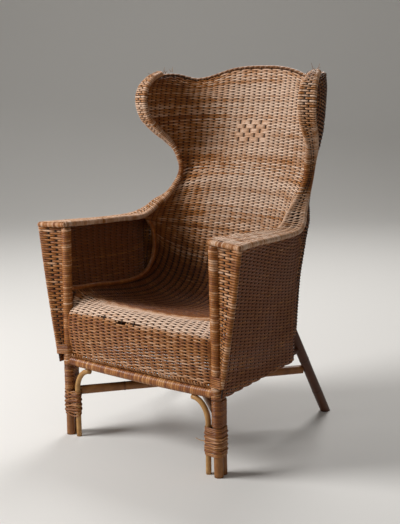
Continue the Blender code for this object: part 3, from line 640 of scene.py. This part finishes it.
def swept(name, path, radii, reference, finish, replaced, tone, lift, sides, mirror, standing=False):
    """A closed round sweep along a path.

    Radii, tones and lifts are each a column, or one for each point of each ring. The first ring of
    a standing pole slides along the pole until it lies flat on the floor.
    """
    shape = (len(path), sides)
    run = unit(np.gradient(path, axis=0))
    first = unit(np.cross(reference, run))
    second = np.cross(run, first)
    angle = (2.0 * math.pi * np.arange(sides) / sides)[:, None]
    ring = first[:, None] * np.cos(angle) + second[:, None] * np.sin(angle)
    points = path[:, None] + ring * np.broadcast_to(radii, shape)[:, :, None]
    if standing:
        points[0] -= run[0] * (points[0, :, 2:] / run[0, 2])
    points = points * np.array((mirror, 1.0, 1.0))
    index = np.arange(len(path) * sides).reshape(shape)
    if mirror < 0.0:
        index = index[:, ::-1]
    values = {"tone": tone, "lift": lift, "along": lengths_along(path)[:, None]}
    values = {key: np.broadcast_to(value, shape) for key, value in values.items()}
    caps = (index[:1, ::-1], index[-1:])
    mesh_piece(name, points, skin(index[:-1], index[1:]), caps, finish, replaced, values)


def wound_pole(name, path, radius, pitch, relief, reference, rng, finish, replaced, mirror=1.0, sides=14,
               spread=0.2, base=0.5, seam=0.15):
    """A pole wound with flat cane: its radius swells by relief times a rounded wave, once a turn.

    The wave's phase is the distance along the pole over the pitch, plus the angle round it, so
    the seam climbs like a screw thread.
    """
    length = lengths_along(path)[-1]
    at = np.linspace(0.0, length, int(length / pitch * 6) + 1)
    phase = at[:, None] / pitch + np.arange(sides) / sides
    swell = np.abs(np.sin(math.pi * phase))
    turns = np.clip(rng.normal(base, spread, int(phase.max()) + 3), 0.0, 1.0)
    # Lift falls to seam in the groove between turns, where the finish paints shade
    swept(name, at_lengths(path, at), radius + relief * swell ** 0.5, reference, finish, replaced,
          turns[phase.astype(int)], seam + (1.0 - seam) * swell, sides, mirror)


def bare_pole(name, path, radius, reference, rng, finish, replaced, mirror, sides, joints_apart=0.17,
              standing=False):
    """A smooth cane pole with a raised joint every so often, its radius swelling in a bell curve there."""
    length = lengths_along(path)[-1]
    joints = np.arange(rng.uniform(0.3, 0.8) * joints_apart, length - 0.01,
                       joints_apart * rng.uniform(0.85, 1.15))[:, None]
    near = (joints + np.array((-0.006, -0.003, -0.0012, 0.0, 0.0012, 0.003, 0.006))).ravel()
    at = np.unique(np.concatenate((np.linspace(0.0, length, max(2, int(length / 0.012))), near)))
    at = at[(at >= 0.0) & (at <= length)]
    swelling = np.exp(-(((at - joints) / 0.003) ** 2))
    groove = np.exp(-(((at - joints - 0.0035) / 0.0015) ** 2))
    bump = np.sum(swelling - 0.6 * groove, axis=0)
    wave = 1.0 + 0.012 * np.sin(at * 31.0 + rng.uniform(0.0, 6.0))
    tone = np.clip(0.5 - 0.35 * np.abs(bump), 0.0, 1.0)
    swept(name, at_lengths(path, at), (radius * wave + 0.0006 * bump)[:, None], reference, finish, replaced,
          tone[:, None], 0.5, sides, mirror, standing)


# Finishes


def feed(group, socket, value):
    """Gives a socket a link, or a plain value."""
    if isinstance(value, bpy.types.NodeSocket):
        group.links.new(value, socket)
    else:
        socket.default_value = value


def blend(group, factor, a, b, mode="MIX"):
    """A colour mix node."""
    node = group.nodes.new("ShaderNodeMix")
    node.data_type = "RGBA"
    node.blend_type = mode
    for socket, value in ((node.inputs[0], factor), (node.inputs[6], a), (node.inputs[7], b)):
        feed(group, socket, value)
    return node.outputs[2]


def reckon(group, operation, a, b, clamp=False):
    """A number from a math node."""
    node = group.nodes.new("ShaderNodeMath")
    node.operation = operation
    node.use_clamp = clamp
    for socket, value in zip(node.inputs, (a, b)):
        feed(group, socket, value)
    return node.outputs[0]


def spread_over(group, value, low, high, out_low=0.0, out_high=1.0):
    """A value carried from one range to another, and held at its ends."""
    node = group.nodes.new("ShaderNodeMapRange")
    node.clamp = True
    for label, number in (("Value", value), ("From Min", low), ("From Max", high), ("To Min", out_low),
                          ("To Max", out_high)):
        feed(group, node.inputs[label], number)
    return node.outputs["Result"]


def noise(group, vector, scale, detail):
    """A noise value on a vector."""
    node = group.nodes.new("ShaderNodeTexNoise")
    for label, value in (("Scale", scale), ("Detail", detail), ("Roughness", 0.55), ("Vector", vector)):
        feed(group, node.inputs[label], value)
    return node.outputs["Fac"]


def attribute(group, name):
    """A value stored on the mesh's points."""
    node = group.nodes.new("ShaderNodeAttribute")
    node.attribute_name = name
    return node.outputs["Fac"]


def cane_group():
    """Old cane: tone from strand to strand, worn tops with a painted highlight, dirt and painted shade in the
    hollows, stains and fine fibre.
    """
    group = bpy.data.node_groups.new("Old cane", "ShaderNodeTree")
    sockets = (
        ("INPUT", "NodeSocketColor", ("Deep", "Brown", "Body", "Worn_and_highlight")),
        ("INPUT", "NodeSocketFloat", ("Wear_and_highlight", "Dirt_and_shade", "Plain")),
        ("OUTPUT", "NodeSocketColor", ("Colour",)),
        ("OUTPUT", "NodeSocketFloat", ("Roughness", "Height")),
    )
    for direction, kind, labels in sockets:
        for label in labels:
            group.interface.new_socket(name=label, in_out=direction, socket_type=kind)
    given = group.nodes.new("NodeGroupInput").outputs
    result = group.nodes.new("NodeGroupOutput").inputs

    def times(a, b, clamp=False):
        return reckon(group, "MULTIPLY", a, b, clamp)

    # A mesh without values of its own takes a middling tone and lift
    tone = reckon(group, "MAXIMUM", attribute(group, "tone"), times(given["Plain"], 0.4))
    lift = reckon(group, "MAXIMUM", attribute(group, "lift"), times(given["Plain"], 0.7))
    # Noise from large to small: stains, blotches, and a fibre that differs along each strand
    place = group.nodes.new("ShaderNodeTexCoord").outputs["Object"]
    stain = noise(group, place, 7.0, 4.0)
    blotch = noise(group, place, 38.0, 3.0)
    run = group.nodes.new("ShaderNodeCombineXYZ")
    feed(group, run.inputs[0], times(attribute(group, "along"), 60.0))
    shifted = group.nodes.new("ShaderNodeVectorMath")
    shifted.operation = "MULTIPLY_ADD"
    for socket, value in zip(shifted.inputs, (place, (900.0, 900.0, 900.0), run.outputs[0])):
        feed(group, socket, value)
    fibre = noise(group, shifted.outputs[0], 1.0, 2.0)
    # Brown to body to worn, by blotch, tone and stain together; only what stands forward is worn, and
    # painted with a highlight
    patchy = reckon(group, "ADD", times(blotch, 0.9), times(tone, 0.9))
    patchy = reckon(group, "ADD", patchy, times(stain, 0.5))
    pale = spread_over(group, patchy, 1.20, 1.80)
    lit = spread_over(group, lift, 0.35, 1.0, 0.55, 1.0)
    worn_and_highlight = times(times(pale, lit), given["Wear_and_highlight"], clamp=True)
    colour = blend(group, spread_over(group, patchy, 0.85, 1.35), given["Brown"], given["Body"])
    colour = blend(group, worn_and_highlight, colour, given["Worn_and_highlight"])
    # Painted shade in the hollows, and dirt where stains lie low
    hollow_shade = spread_over(group, lift, 0.04, 0.46, 1.0, 0.0)
    dirt_and_shade = spread_over(group, stain, 0.45, 0.85, 0.25, 0.75)
    dirt_and_shade = reckon(group, "MAXIMUM", hollow_shade, times(dirt_and_shade, reckon(group, "SUBTRACT", 1.0, lift)))
    dirt_and_shade = times(dirt_and_shade, given["Dirt_and_shade"], clamp=True)
    colour = blend(group, dirt_and_shade, colour, given["Deep"])
    # Fine streaks of fibre
    streak = spread_over(group, fibre, 0.3, 0.75, 0.86, 1.1)
    grey = group.nodes.new("ShaderNodeCombineColor")
    for socket in grey.inputs[:3]:
        feed(group, socket, streak)
    colour = blend(group, 1.0, colour, grey.outputs[0], "MULTIPLY")
    rough = reckon(group, "ADD", stain, times(dirt_and_shade, 0.4))
    feed(group, result["Colour"], colour)
    feed(group, result["Roughness"], spread_over(group, rough, 0.3, 0.9, 0.36, 0.72))
    feed(group, result["Height"], fibre)
    return group


def cane_finish(group, name, colours, wear_and_highlight, dirt_and_shade, coat, plain):
    """A material of old cane with its own colours."""
    finish = bpy.data.materials.get(name) or bpy.data.materials.new(name)
    finish.use_nodes = True
    tree = finish.node_tree
    tree.nodes.clear()
    shader = tree.nodes.new("ShaderNodeBsdfPrincipled")
    out = tree.nodes.new("ShaderNodeOutputMaterial")
    tree.links.new(shader.outputs["BSDF"], out.inputs["Surface"])
    cane = tree.nodes.new("ShaderNodeGroup")
    cane.node_tree = group
    for label, colour in zip(("Deep", "Brown", "Body", "Worn_and_highlight"), colours):
        cane.inputs[label].default_value = (*colour, 1.0)
    for label, value in (("Wear_and_highlight", wear_and_highlight), ("Dirt_and_shade", dirt_and_shade), ("Plain", plain)):
        cane.inputs[label].default_value = value
    raised = tree.nodes.new("ShaderNodeBump")
    settings = (
        (raised, "Strength", 0.25), (raised, "Distance", 0.0004), (raised, "Height", cane.outputs["Height"]),
        (shader, "Base Color", cane.outputs["Colour"]), (shader, "Roughness", cane.outputs["Roughness"]),
        (shader, "Normal", raised.outputs["Normal"]), (shader, "Specular IOR Level", 0.28),
        (shader, "Coat Weight", coat), (shader, "Coat Roughness", 0.3),
    )
    for node, label, value in settings:
        feed(tree, node.inputs[label], value)


# Pieces


def paled_and_painted_light(points):
    """Tone for the inner weave: paler over the back's middle and the crest (bleached cane, with painted light),
    a painted sheen on the front roll, and painted shade in the seat's hollow and at the sides.
    """
    x, y, z = points[..., 0], points[..., 1], points[..., 2]
    back = np.exp(-(((x - 0.05) / 0.25) ** 2)) * np.clip((z - 0.50) / 0.18, 0.0, 1.0)
    roll = np.exp(-(((z - 0.412) / 0.022) ** 2) - ((y - 0.015) / 0.05) ** 2)
    hollow_shade = np.exp(-(((z - 0.40) / 0.08) ** 2)) * np.clip((y - 0.08) / 0.06, 0.0, 1.0)
    return 0.62 * back + 1.0 * roll - 0.42 * hollow_shade - 0.12 * np.clip((np.abs(x) - 0.22) / 0.05, 0.0, 1.0)


def in_shade(points):
    """The outer back has kept its darker varnish all over."""
    return -0.15


def inner_weave(rng):
    """Apron, seat and inner back in four stretches, with their stakes."""
    t, level = rows_of(MIDDLE, CREST, 481)
    node = ("seat_and_back_weave",)
    cuts = [*np.searchsorted(t, [stretch[1] for stretch in STRETCHES]), len(t)]
    for (name, _, full, behind), first, last in zip(STRETCHES, cuts[:-1], cuts[1:]):
        woven_wall(name, inner_bucket, stake_spacing, t[first:last], level[first:last], rng, node, 4, 5, full,
                   paled_and_painted_light, behind, first, HOLES, PATCHES)
    stakes("inner_stakes", inner_bucket, stake_spacing, t[::3], rng, node)


def outer_back(rng):
    """The outer back and its stakes."""
    t, level = rows_of(BACK_MIDDLE, EDGE_END, 301)
    node = ("back_panel",)
    woven_wall("outer_back_strands", outer_bucket, back_spacing, t, level, rng, node, 3, 4, OUTER_FULL,
               in_shade)
    stakes("outer_back_stakes", outer_bucket, back_spacing, t[::3], rng, node)


def panel_surface(f, across):
    """The outer side of an arm: levels from the skirt to the arm, from the outer post to the back corner."""
    front_y = OUTER_EDGE[0][1] + OUTER_R * 0.5
    fourth = float(len(BACK_CORNER))
    rear = np.concatenate(
        (np.array(BACK_CORNER), outer_side(np.array((fourth,)), as_points(through(BACK_MIDDLE, fourth)))))
    top = through(OUTER_EDGE, np.linspace(0.0, 5.0, 101))
    share = (across - across[0]) / (across[-1] - across[0])
    rows = []
    for value in f:
        top_y = front_y + (rear[-1, 1] - front_y) * share
        top_x = np.interp(top_y, top[:, 1], top[:, 0])
        top_z = np.interp(top_y, top[:, 1], top[:, 2]) - OUTER_R
        z = PANEL_FOOT_Z + (top_z - PANEL_FOOT_Z) * value
        front_x = OUTER_POST_FOOT_X + (top_x[0] - OUTER_POST_FOOT_X) * value
        rear_x = np.interp(z[-1], rear[:, 2], rear[:, 0])
        rear_y = np.interp(z[-1], rear[:, 2], rear[:, 1]) - 0.001
        rows.append(spots(front_x + (rear_x - front_x) * share, front_y + (rear_y - front_y) * share, z))
    return np.array(rows)


def side_panel(label, side, rng):
    """One outer side: strands over and under upright stakes."""
    per_stake, gaps, rows = 3, 17, 84
    across = np.linspace(0.0, 1.0, gaps * per_stake + 1)
    points = panel_surface((np.arange(rows) + 0.5) / rows, across)
    normal, spacing = field_frames(points)
    normal = normal * np.sign(np.sum(normal[..., 0]))
    wave = over_under(alternate(np.arange(rows)), np.arange(len(across)) / per_stake)
    centre = points + normal * (LIFT * wave)[:, :, None]
    half_width = np.clip(spacing * PANEL_FULL, *PANEL_WIDTHS)
    # Darker all over: less bleached cane with painted shade on it; lift is lower between stakes, where shade is
    # painted
    tone = weave_values(rng, rows, len(across), per_stake * 4) - 0.42
    lift = np.where(wave < 0.0, 0.3 - 0.6 * wave, 0.35 + 0.65 * wave)
    node = (f"side_panel_{label}",)
    strands(f"side_panel_strands_{label}", centre, ribbon(centre, normal), half_width, STRAND_THICK, tone, lift,
            "cane_weave", node, 4, side)
    places = (slice(None, None, 3), slice(None, None, per_stake))
    # Stakes take no lift, so the finish paints them dark as shade
    uprights(f"side_panel_stakes_{label}", points[places], normal[places], 0.35, 0.0, node, 5, side)


def weathered_and_lit(points):
    """Tone for the woven edges: paler on the arms and the swoop, where sun and hands have paled them, with
    painted light on these upward-facing parts; less on the wings; darker round the waist.
    """
    z = points[..., 2]
    waist = np.exp(-(((z - 0.79) / 0.06) ** 2))
    return 0.52 - 0.15 * np.clip((z - 0.70) / 0.2, 0.0, 1.0) - 0.45 * waist


def arm_and_wing(label, side, rng):
    """The woven edge from the arm's front, up the swoop and waist, and round the wing."""
    dense = np.linspace(0.0, EDGE_END, 601)
    at = even_places((through(INNER_EDGE, dense) + through(OUTER_EDGE, dense)) / 2.0, dense, EDGE_ROW)
    nodes = (f"arm_top_{label}", f"wing_edge_{label}", f"inner_edge_pole_{label}", f"outer_edge_pole_{label}")
    edge_strip(f"arm_and_wing_edge_{label}", through(INNER_EDGE, at), through(OUTER_EDGE, at), INNER_R, OUTER_R,
               rng, side, nodes, 0.45, lift=0.0030, reach=12, shade=weathered_and_lit)
    for which, table, radius in (("inner", INNER_EDGE, INNER_R), ("outer", OUTER_EDGE, OUTER_R)):
        path = through(table, np.linspace(0.0, EDGE_END, 91))
        bare_pole(f"{which}_edge_core_{label}", path, radius, X_AXIS, rng, "cane_wrap",
                  (f"{which}_edge_pole_{label}",), side, 10)


def arm_front(label, side, rng):
    """The woven face between the front leg and the outer post, and the winding of the leg beside it."""
    low, high = CLIP_TOP + 0.004, ARM_FRONT_Z - 0.014
    z = np.linspace(low, high, 60)
    wound_pole(f"leg_winding_{label}", spots(leg_x(z), 0.0, z), LEG_R - 0.0006, 0.0062, 0.0019, Y_AXIS, rng,
               "cane_weave", (f"arm_front_{label}",), side, sides=18, spread=0.14, base=0.45, seam=0.0)
    rows = int((high - low) / ARM_FRONT_ROW)
    z = low + (high - low) * (np.arange(rows) + 0.5) / rows
    share = (z - CLIP_TOP) / (OUTER_EDGE[0][2] - CLIP_TOP)
    bow = 0.003 * np.sin(math.pi * share)
    a = spots(leg_x(z) + LEG_R + 0.001, 0.004, z)
    post_x, post_y, _ = OUTER_EDGE[0]
    b = spots(OUTER_POST_FOOT_X + (post_x - OUTER_POST_FOOT_X) * share + bow, post_y + 0.004, z)
    edge_strip(f"arm_front_strands_{label}", a, b, 0.0035, OUTER_R, rng, side,
               (f"arm_front_{label}", f"arm_outer_post_{label}"), 0.50, wrap=(1.9, 2.3))
    bare_pole(f"outer_post_core_{label}", b, OUTER_R, Y_AXIS, rng, "cane_wrap", (), side, 10)


def arm_nose(label, side, rng):
    """The wound front edge of an arm's top."""
    start = np.array(INNER_EDGE[0]) + np.array((-0.004, 0.0, -0.001))
    end = np.array(OUTER_EDGE[0]) + np.array((0.003, 0.001, -0.001))
    path = start + (end - start) * np.linspace(0.0, 1.0, 12)[:, None]
    wound_pole(f"arm_nose_wound_{label}", path, 0.0065, 0.0048, 0.0014, Z_AXIS, rng, "cane_weave",
               (f"arm_nose_{label}",), side, base=0.6)


def pocket(label, side, rng):
    """The smooth wound border of the opening in an arm."""
    start = np.array(((POCKET[0][0], LEG_R * 0.5, 0.468),))
    path = np.concatenate((start, through(POCKET, np.linspace(0.0, 7.0, 71))))
    wound_pole(f"pocket_border_{label}", path, POCKET_R - SLIM, 0.0062, 0.0007, X_AXIS, rng, "cane_wrap",
               (f"pocket_pole_{label}",), side, spread=0.10, base=0.4, seam=0.4)


def twisted(path, level, upward, out, rise, turn):
    """The centres of two strands twisted round a path, out and up from it by cosine and sine."""
    turn = (turn + math.pi * np.arange(2)[:, None])[:, :, None]
    return path + out * np.cos(turn) * level + rise * np.sin(turn) * upward


def front_rails(rng):
    """The wound front rail and the twisted row above it."""
    share = np.linspace(-1.0, 1.0, 41)
    path = spots((leg_x(RAIL_Z) - LEG_R * 0.6) * share, 0.0, RAIL_Z - RAIL_SAG * (1.0 - share ** 2))
    wound_pole("front_rail_wound", path, RAIL_R - 0.001, 0.0075, 0.0012, Z_AXIS, rng, "cane_wrap",
               ("front_rail",), sides=18, spread=0.25)
    count = 361
    x = np.linspace(-1.0, 1.0, count) * (leg_x(APRON_FOOT_Z) - LEG_R * 0.7)
    centre = twisted(spots(x, -0.006, 0.2590), np.array(Y_AXIS), np.array(Z_AXIS), 0.0032, 0.0032,
                     x / 0.0105 * math.pi)
    along = unit(np.gradient(centre, axis=1))
    high = unit(np.cross(along, Y_AXIS))
    strands("apron_twist", centre, (unit(np.cross(high, along)), high), 0.0027, 0.0027,
            weave_values(rng, 2, count, 24), 0.7, "cane_weave", ("apron_border",), 6)


def crest(rng):
    """The crest: two strands twisted round each other, along the top of both weaves."""
    _, half = crest_line(np.zeros(1))
    count = 641
    path, _ = crest_line(np.linspace(-half, half, count))
    turn = lengths_along(path) / STAKE_HIGH * 2.0 * math.pi
    run = unit(np.gradient(path, axis=0))
    level = unit(np.cross(run, Z_AXIS))
    upward = np.cross(level, run)
    centre = twisted(path, level, upward, 0.0036, 0.0018, turn)
    # Lift follows the twist: each strand is light where it lies on top and takes painted shade where it turns
    # beneath
    lift = 0.55 + 0.45 * np.stack((np.sin(turn), -np.sin(turn)))
    strands("crest_twist", centre, ribbon(centre, upward), 0.0036, 0.0030,
            weave_values(rng, 2, count, 24) + 0.2, lift, "cane_weave", ("crest_rail",), 6)


def hull_path(circles, spread, count):
    """Points round a group of circles (x, y, r), a spread outside them, evenly spaced."""
    angle = np.linspace(0.0, 2.0 * math.pi, 181)[:-1]
    ways = np.stack((np.cos(angle), np.sin(angle)), axis=1)
    cloud = np.concatenate([np.array((x, y)) + ways * (r + spread) for x, y, r in circles])
    outline = cloud[np.argmax(cloud @ ways.T, axis=0)]
    closed = np.concatenate((outline, outline[:1]))
    return at_lengths(closed, np.linspace(0.0, lengths_along(closed)[-1], count + 1))


def wound_bundle(name, circles, low, high, pitch, rng, finish, replaced, tilt, half_thick=0.0012, cross=False,
                 width=None):
    """Turns of flat cane round a bundle of poles: closed rings one above the other, each a little uneven."""
    count = 40
    rows = max(2, int(round((high - low) / pitch)))
    z = (low + (np.arange(rows) + 0.5) / rows * (high - low))[:, None]
    ring = hull_path(circles, half_thick, count)
    angle = np.linspace(0.0, 2.0 * math.pi, count + 1)
    lean = tilt * (1.0 + rng.normal(0.0, 0.3, (rows, 1)))
    z = z + lean * np.cos(angle) + rng.normal(0.0, 0.0003, (rows, 1))
    if cross:
        z = z + 0.006 * np.sin(2.0 * angle) * alternate(np.arange(rows))
    centre = spots(ring[:, 0], ring[:, 1], z)
    middle = np.array((np.mean(ring[:, 0]), np.mean(ring[:, 1]), 0.0))
    out = unit(np.cross(unit(np.gradient(centre, axis=1)), Z_AXIS))
    centre = centre + out * rng.uniform(0.0, 0.0006, (rows, 1, 1)) * np.sign(np.sum(out * (centre - middle)))
    tone = np.clip(rng.normal(0.5, 0.22, (rows, 1)), 0.0, 1.0)
    strands(name, centre, (Z_AXIS, out), width or pitch * 0.52, half_thick, tone, 0.7, finish, replaced, 6)


def leg_set(label, side, rng):
    """A front leg, its brace and rear pole, and what is wound round them."""
    brace_x = leg_x(BRACE_BEND_Z) - BRACE_SPACING
    turn = np.linspace(0.0, math.pi / 2.0, 24)
    rise = RAIL_Z - RAIL_R - BRACE_R - BRACE_BEND_Z
    arc = spots(BRACE_END_X + (brace_x - BRACE_END_X) * np.cos(turn), 0.0, BRACE_BEND_Z + rise * np.sin(turn))
    straight = spots(brace_x, 0.0, np.linspace(0.0, BRACE_BEND_Z, 13)[:-1])
    leg_z, back_z = np.linspace(0.0, LEG_TOP, 60), np.linspace(0.0, BACK_POLE_TOP, 30)
    leg = spots(leg_x(leg_z), 0.0, leg_z)
    back = spots(leg_x(back_z), BACK_POLE_Y, back_z)
    brace = np.concatenate((straight, arc))
    poles = (
        ("front_leg_pole", "front_leg", leg, LEG_R - SLIM, "cane_pole", 20, 0.21),
        ("leg_rear_pole", "leg_back_pole", back, BACK_POLE_R, "cane_pole", 16, 0.19),
        ("brace_pole", "leg_brace", brace, BRACE_R, "cane_pale", 14, 0.2),
    )
    for name, node, path, radius, finish, sides, apart in poles:
        bare_pole(f"{name}_{label}", path, radius, Y_AXIS, rng, finish, (f"{node}_{label}",), side, sides,
                  apart, standing=True)

    def leg_at(z, more=0.0):
        """The front leg's circle at a height."""
        return side * leg_x(z), 0.0, LEG_R + more

    def rear_at(z):
        """The rear pole's circle at a height."""
        return side * leg_x(z), BACK_POLE_Y, BACK_POLE_R

    low, high = LASHING_Z[label]
    bundle = [leg_at(0.1), (side * brace_x, 0.0, BRACE_R), rear_at(0.1)]
    over = [(x, y, r + 0.0022) for x, y, r in bundle]
    post = (side * OUTER_POST_FOOT_X, OUTER_EDGE[0][1] + 0.002, OUTER_R)
    windings = (
        ("lashing_low", "leg_lashing", bundle, low, high, 0.0052, "cane_wrap", 0.001, {"cross": side < 0}),
        ("lashing_over", "leg_lashing", over, low + 0.008, high - 0.012, 0.0125, "cane_weave", 0.005,
         {"half_thick": 0.0010, "width": 0.0026}),
        ("lashing_high", "leg_wrap", [leg_at(0.19), rear_at(0.19)], high + 0.004, 0.222, 0.0048, "cane_wrap",
         0.0006, {}),
        ("rail_lashing_strands", "rail_lashing", [leg_at(0.245, 0.0005)], 0.226, CLIP_TOP, 0.0048, "cane_weave",
         0.003, {}),
        ("post_lashing_strands", "rail_lashing", [leg_at(0.28, 0.001), post], CLIP_TOP, 0.292, 0.0050,
         "cane_weave", 0.002, {}),
    )
    for name, node, circles, foot, top, pitch, finish, tilt, more in windings:
        wound_bundle(f"{name}_{label}", circles, foot, top, pitch, rng, finish, (f"{node}_{label}",), tilt,
                     **more)


def loose_ends(name, starts, ways, reach, rng, finish, replaced, radius=0.0009):
    """Thin broken ends: each leaves its start along its way and bends aside as the square of the distance."""
    share = np.linspace(0.0, 1.0, 8)[:, None]
    bend = rng.normal(0.0, 0.45, (len(starts), 1, 3))
    centre = starts[:, None] + reach[:, None, None] * (ways[:, None] * share + bend * share ** 2)
    tone = np.clip(rng.normal(0.6, 0.25, (len(starts), 1)), 0.0, 1.0)
    radii = radius * (1.0 - 0.5 * share[:, 0])
    strands(name, centre, ribbon(centre, (-0.31, -0.17, -0.93)), radii, radii, tone, 0.8, finish, replaced)


def frayed_places(rng):
    """The broken ends at both wing tips, and the strand that has come off the right lashing."""
    near, far = np.array((0.292, 0.44, 1.088)), np.array((0.275, 0.54, 1.102))
    for label, side in SIDES:
        count = 12 if side < 0 else 8
        share = rng.uniform(0.0, 1.0, (count, 1))
        starts = (near + (far - near) * share + rng.normal(0.0, 0.002, (count, 3))) * np.array((side, 1.0, 1.0))
        ways = unit(spots(side * rng.normal(0.3, 0.5, count), rng.normal(-0.2, 0.5, count), 0.8))
        loose_ends(f"frayed_tip_{label}", starts, ways, rng.uniform(0.007, 0.016, count), rng, "cane_weave",
                   (f"wing_edge_{label}",))
    starts = np.array(((0.2385, -0.002, 0.098), (0.240, -0.003, 0.088)))
    ways = unit(np.array(((-0.85, -0.35, -0.30), (-0.8, -0.5, -0.45))))
    loose_ends("loose_lashing_end", starts, ways, np.array((0.030, 0.014)), rng, "cane_pale",
               ("leg_lashing_right",), 0.0014)


def rear_leg(label, side, rng):
    """A splayed rear leg."""
    foot, top = np.array(REAR_FOOT), np.array(REAR_TOP)
    path = foot + (top - foot) * np.linspace(0.0, 1.0, 30)[:, None]
    bare_pole(f"rear_leg_pole_{label}", path, REAR_LEG_R, X_AXIS, rng, "cane_dark", (f"rear_leg_{label}",),
              side, 20, 0.15, standing=True)


def axis_of(node):
    """The two ends of a straight pole's axis, its way and its radius, from the corners of its solid."""
    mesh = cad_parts[node].data
    flat = np.empty(3 * len(mesh.vertices), dtype=np.float32)
    mesh.vertices.foreach_get("co", flat)
    points = flat.reshape(-1, 3).astype(float) - np.array((0.0, LEG_LINE, 0.0))
    middle = points.mean(axis=0)
    way = np.linalg.svd(points - middle, full_matrices=False)[2][0]
    way = way * np.sign(way[np.argmax(np.abs(way))])
    run = (points - middle) @ way
    start = points[run < run.min() + 0.002].mean(axis=0)
    end = points[run > run.max() - 0.002].mean(axis=0)
    return start, end, way, np.linalg.norm(square_to(points - start, way), axis=1).max()


def frame_poles(rng):
    """The straight poles under the seat, round and jointed, each along the axis of the part's own pole."""
    groups = (
        (("cross_stretcher_low", "cross_stretcher_high"), "cane_pole", 0.007),
        (("side_rail_left", "side_rail_right", "rear_rail"), "cane_dark", 0.004),
        (("seat_front_bar", "seat_side_bar_left", "seat_side_bar_right", "seat_bearer_1", "seat_bearer_2",
          "seat_bearer_3"), "cane_dark", 0.0),
    )
    for nodes, finish, reach in groups:
        for node in nodes:
            start, end, way, radius = axis_of(node)
            path = np.stack((start - way * reach, end + way * reach))
            bare_pole(f"{node}_round", path, radius - SLIM, Z_AXIS, rng, finish, (node,), 1.0, 16, 0.18)


def remaining_nodes():
    """The plain poles that stay as the part has them take the chair's own finish."""
    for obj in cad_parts.values():
        if not obj.hide_render:
            for place in obj.material_slots:
                place.material = bpy.data.materials["cane_plain"]


# Floor, light and camera


def stand(name, data, spot, right, up, back):
    """A lamp or a camera at a spot, with its own three axes."""
    obj = bpy.data.objects.new(name, data)
    turn = Matrix(np.stack((right, up, back), axis=1).tolist()).to_4x4()
    obj.matrix_world = Matrix.Translation(spot) @ turn
    bpy.context.scene.collection.objects.link(obj)
    return obj


def stage_and_light():
    """A plain pale floor that curves up into a backdrop far behind, soft studio light and a pale world."""
    front, bend_at, bend_r, top, half_wide = -14.0, 4.0, 3.0, 9.0, 16.0
    turn = np.linspace(0.0, math.pi / 2.0, 13)
    depth = np.concatenate(([front], bend_at + bend_r * np.sin(turn), [bend_at + bend_r]))
    height = np.concatenate(([0.0], bend_r - bend_r * np.cos(turn), [top]))
    across = np.array((-half_wide, half_wide))[:, None]
    x = across * math.cos(CAMERA_AZIMUTH) - depth * math.sin(CAMERA_AZIMUTH)
    y = across * math.sin(CAMERA_AZIMUTH) + depth * math.cos(CAMERA_AZIMUTH)
    count = len(depth)
    faces = [(k, count + k, count + k + 1, k + 1) for k in range(count - 1)]
    mesh = bpy.data.meshes.new("floor")
    mesh.from_pydata(spots(x, y, height).reshape(-1, 3).tolist(), [], faces)
    mesh.polygons.foreach_set("use_smooth", np.ones(count - 1, dtype=bool))
    floor = bpy.data.objects.new("floor", mesh)
    bpy.context.scene.collection.objects.link(floor)
    finish = bpy.data.materials.new("pale_floor")
    finish.use_nodes = True
    shader = finish.node_tree.nodes["Principled BSDF"]
    shader.inputs["Base Color"].default_value = (0.72, 0.70, 0.67, 1.0)
    shader.inputs["Roughness"].default_value = 0.8
    mesh.materials.append(finish)
    for name, spot, size, power in LAMPS:
        lamp = bpy.data.lights.new(name, "AREA")
        lamp.shape = "DISK"
        lamp.size = size
        lamp.energy = power
        back = unit(np.array(spot) - np.array(LAMP_AIM))
        right = unit(np.cross(Z_AXIS, back))
        stand(name, lamp, spot, right, np.cross(back, right), back)
    world = bpy.data.worlds.new("studio")
    world.use_nodes = True
    background = world.node_tree.nodes["Background"]
    background.inputs["Color"].default_value = (0.96, 0.94, 0.90, 1.0)
    background.inputs["Strength"].default_value = WORLD_POWER
    bpy.context.scene.world = world
    bpy.context.scene.view_settings.view_transform = "Standard"


def camera():
    """The camera, from the photograph's viewing angle."""
    turn_sin, turn_cos = math.sin(CAMERA_AZIMUTH), math.cos(CAMERA_AZIMUTH)
    tilt_sin, tilt_cos = math.sin(CAMERA_PITCH), math.cos(CAMERA_PITCH)
    roll_sin, roll_cos = math.sin(CAMERA_ROLL), math.cos(CAMERA_ROLL)
    forward = np.array((-turn_sin * tilt_cos, turn_cos * tilt_cos, -tilt_sin))
    level = np.array((turn_cos, turn_sin, 0.0))
    upright = np.cross(level, forward)
    data = bpy.data.cameras.new("camera")
    data.sensor_width = SENSOR
    data.lens = CAMERA_FOCAL * SENSOR
    right, up = roll_cos * level + roll_sin * upright, -roll_sin * level + roll_cos * upright
    bpy.context.scene.camera = stand("camera", data, CAMERA_PLACE, right, up, -forward)


def build():
    """Every piece of the chair, then light, floor and camera."""
    group = cane_group()
    for finish in FINISHES:
        cane_finish(group, *finish)
    inner_weave(np.random.default_rng(SEED_INNER))
    outer_back(np.random.default_rng(SEED_OUTER))
    crest(np.random.default_rng(SEED_CREST))
    front_rails(np.random.default_rng(SEED_RAILS))
    for number, (label, side) in enumerate(SIDES):
        rng = np.random.default_rng(SEED_SIDES + number)
        for piece in (side_panel, arm_and_wing, arm_front, arm_nose, pocket, leg_set, rear_leg):
            piece(label, side, rng)
    frayed_places(np.random.default_rng(SEED_FRAYED))
    frame_poles(np.random.default_rng(SEED_POLES))
    remaining_nodes()
    stage_and_light()
    camera()


build()
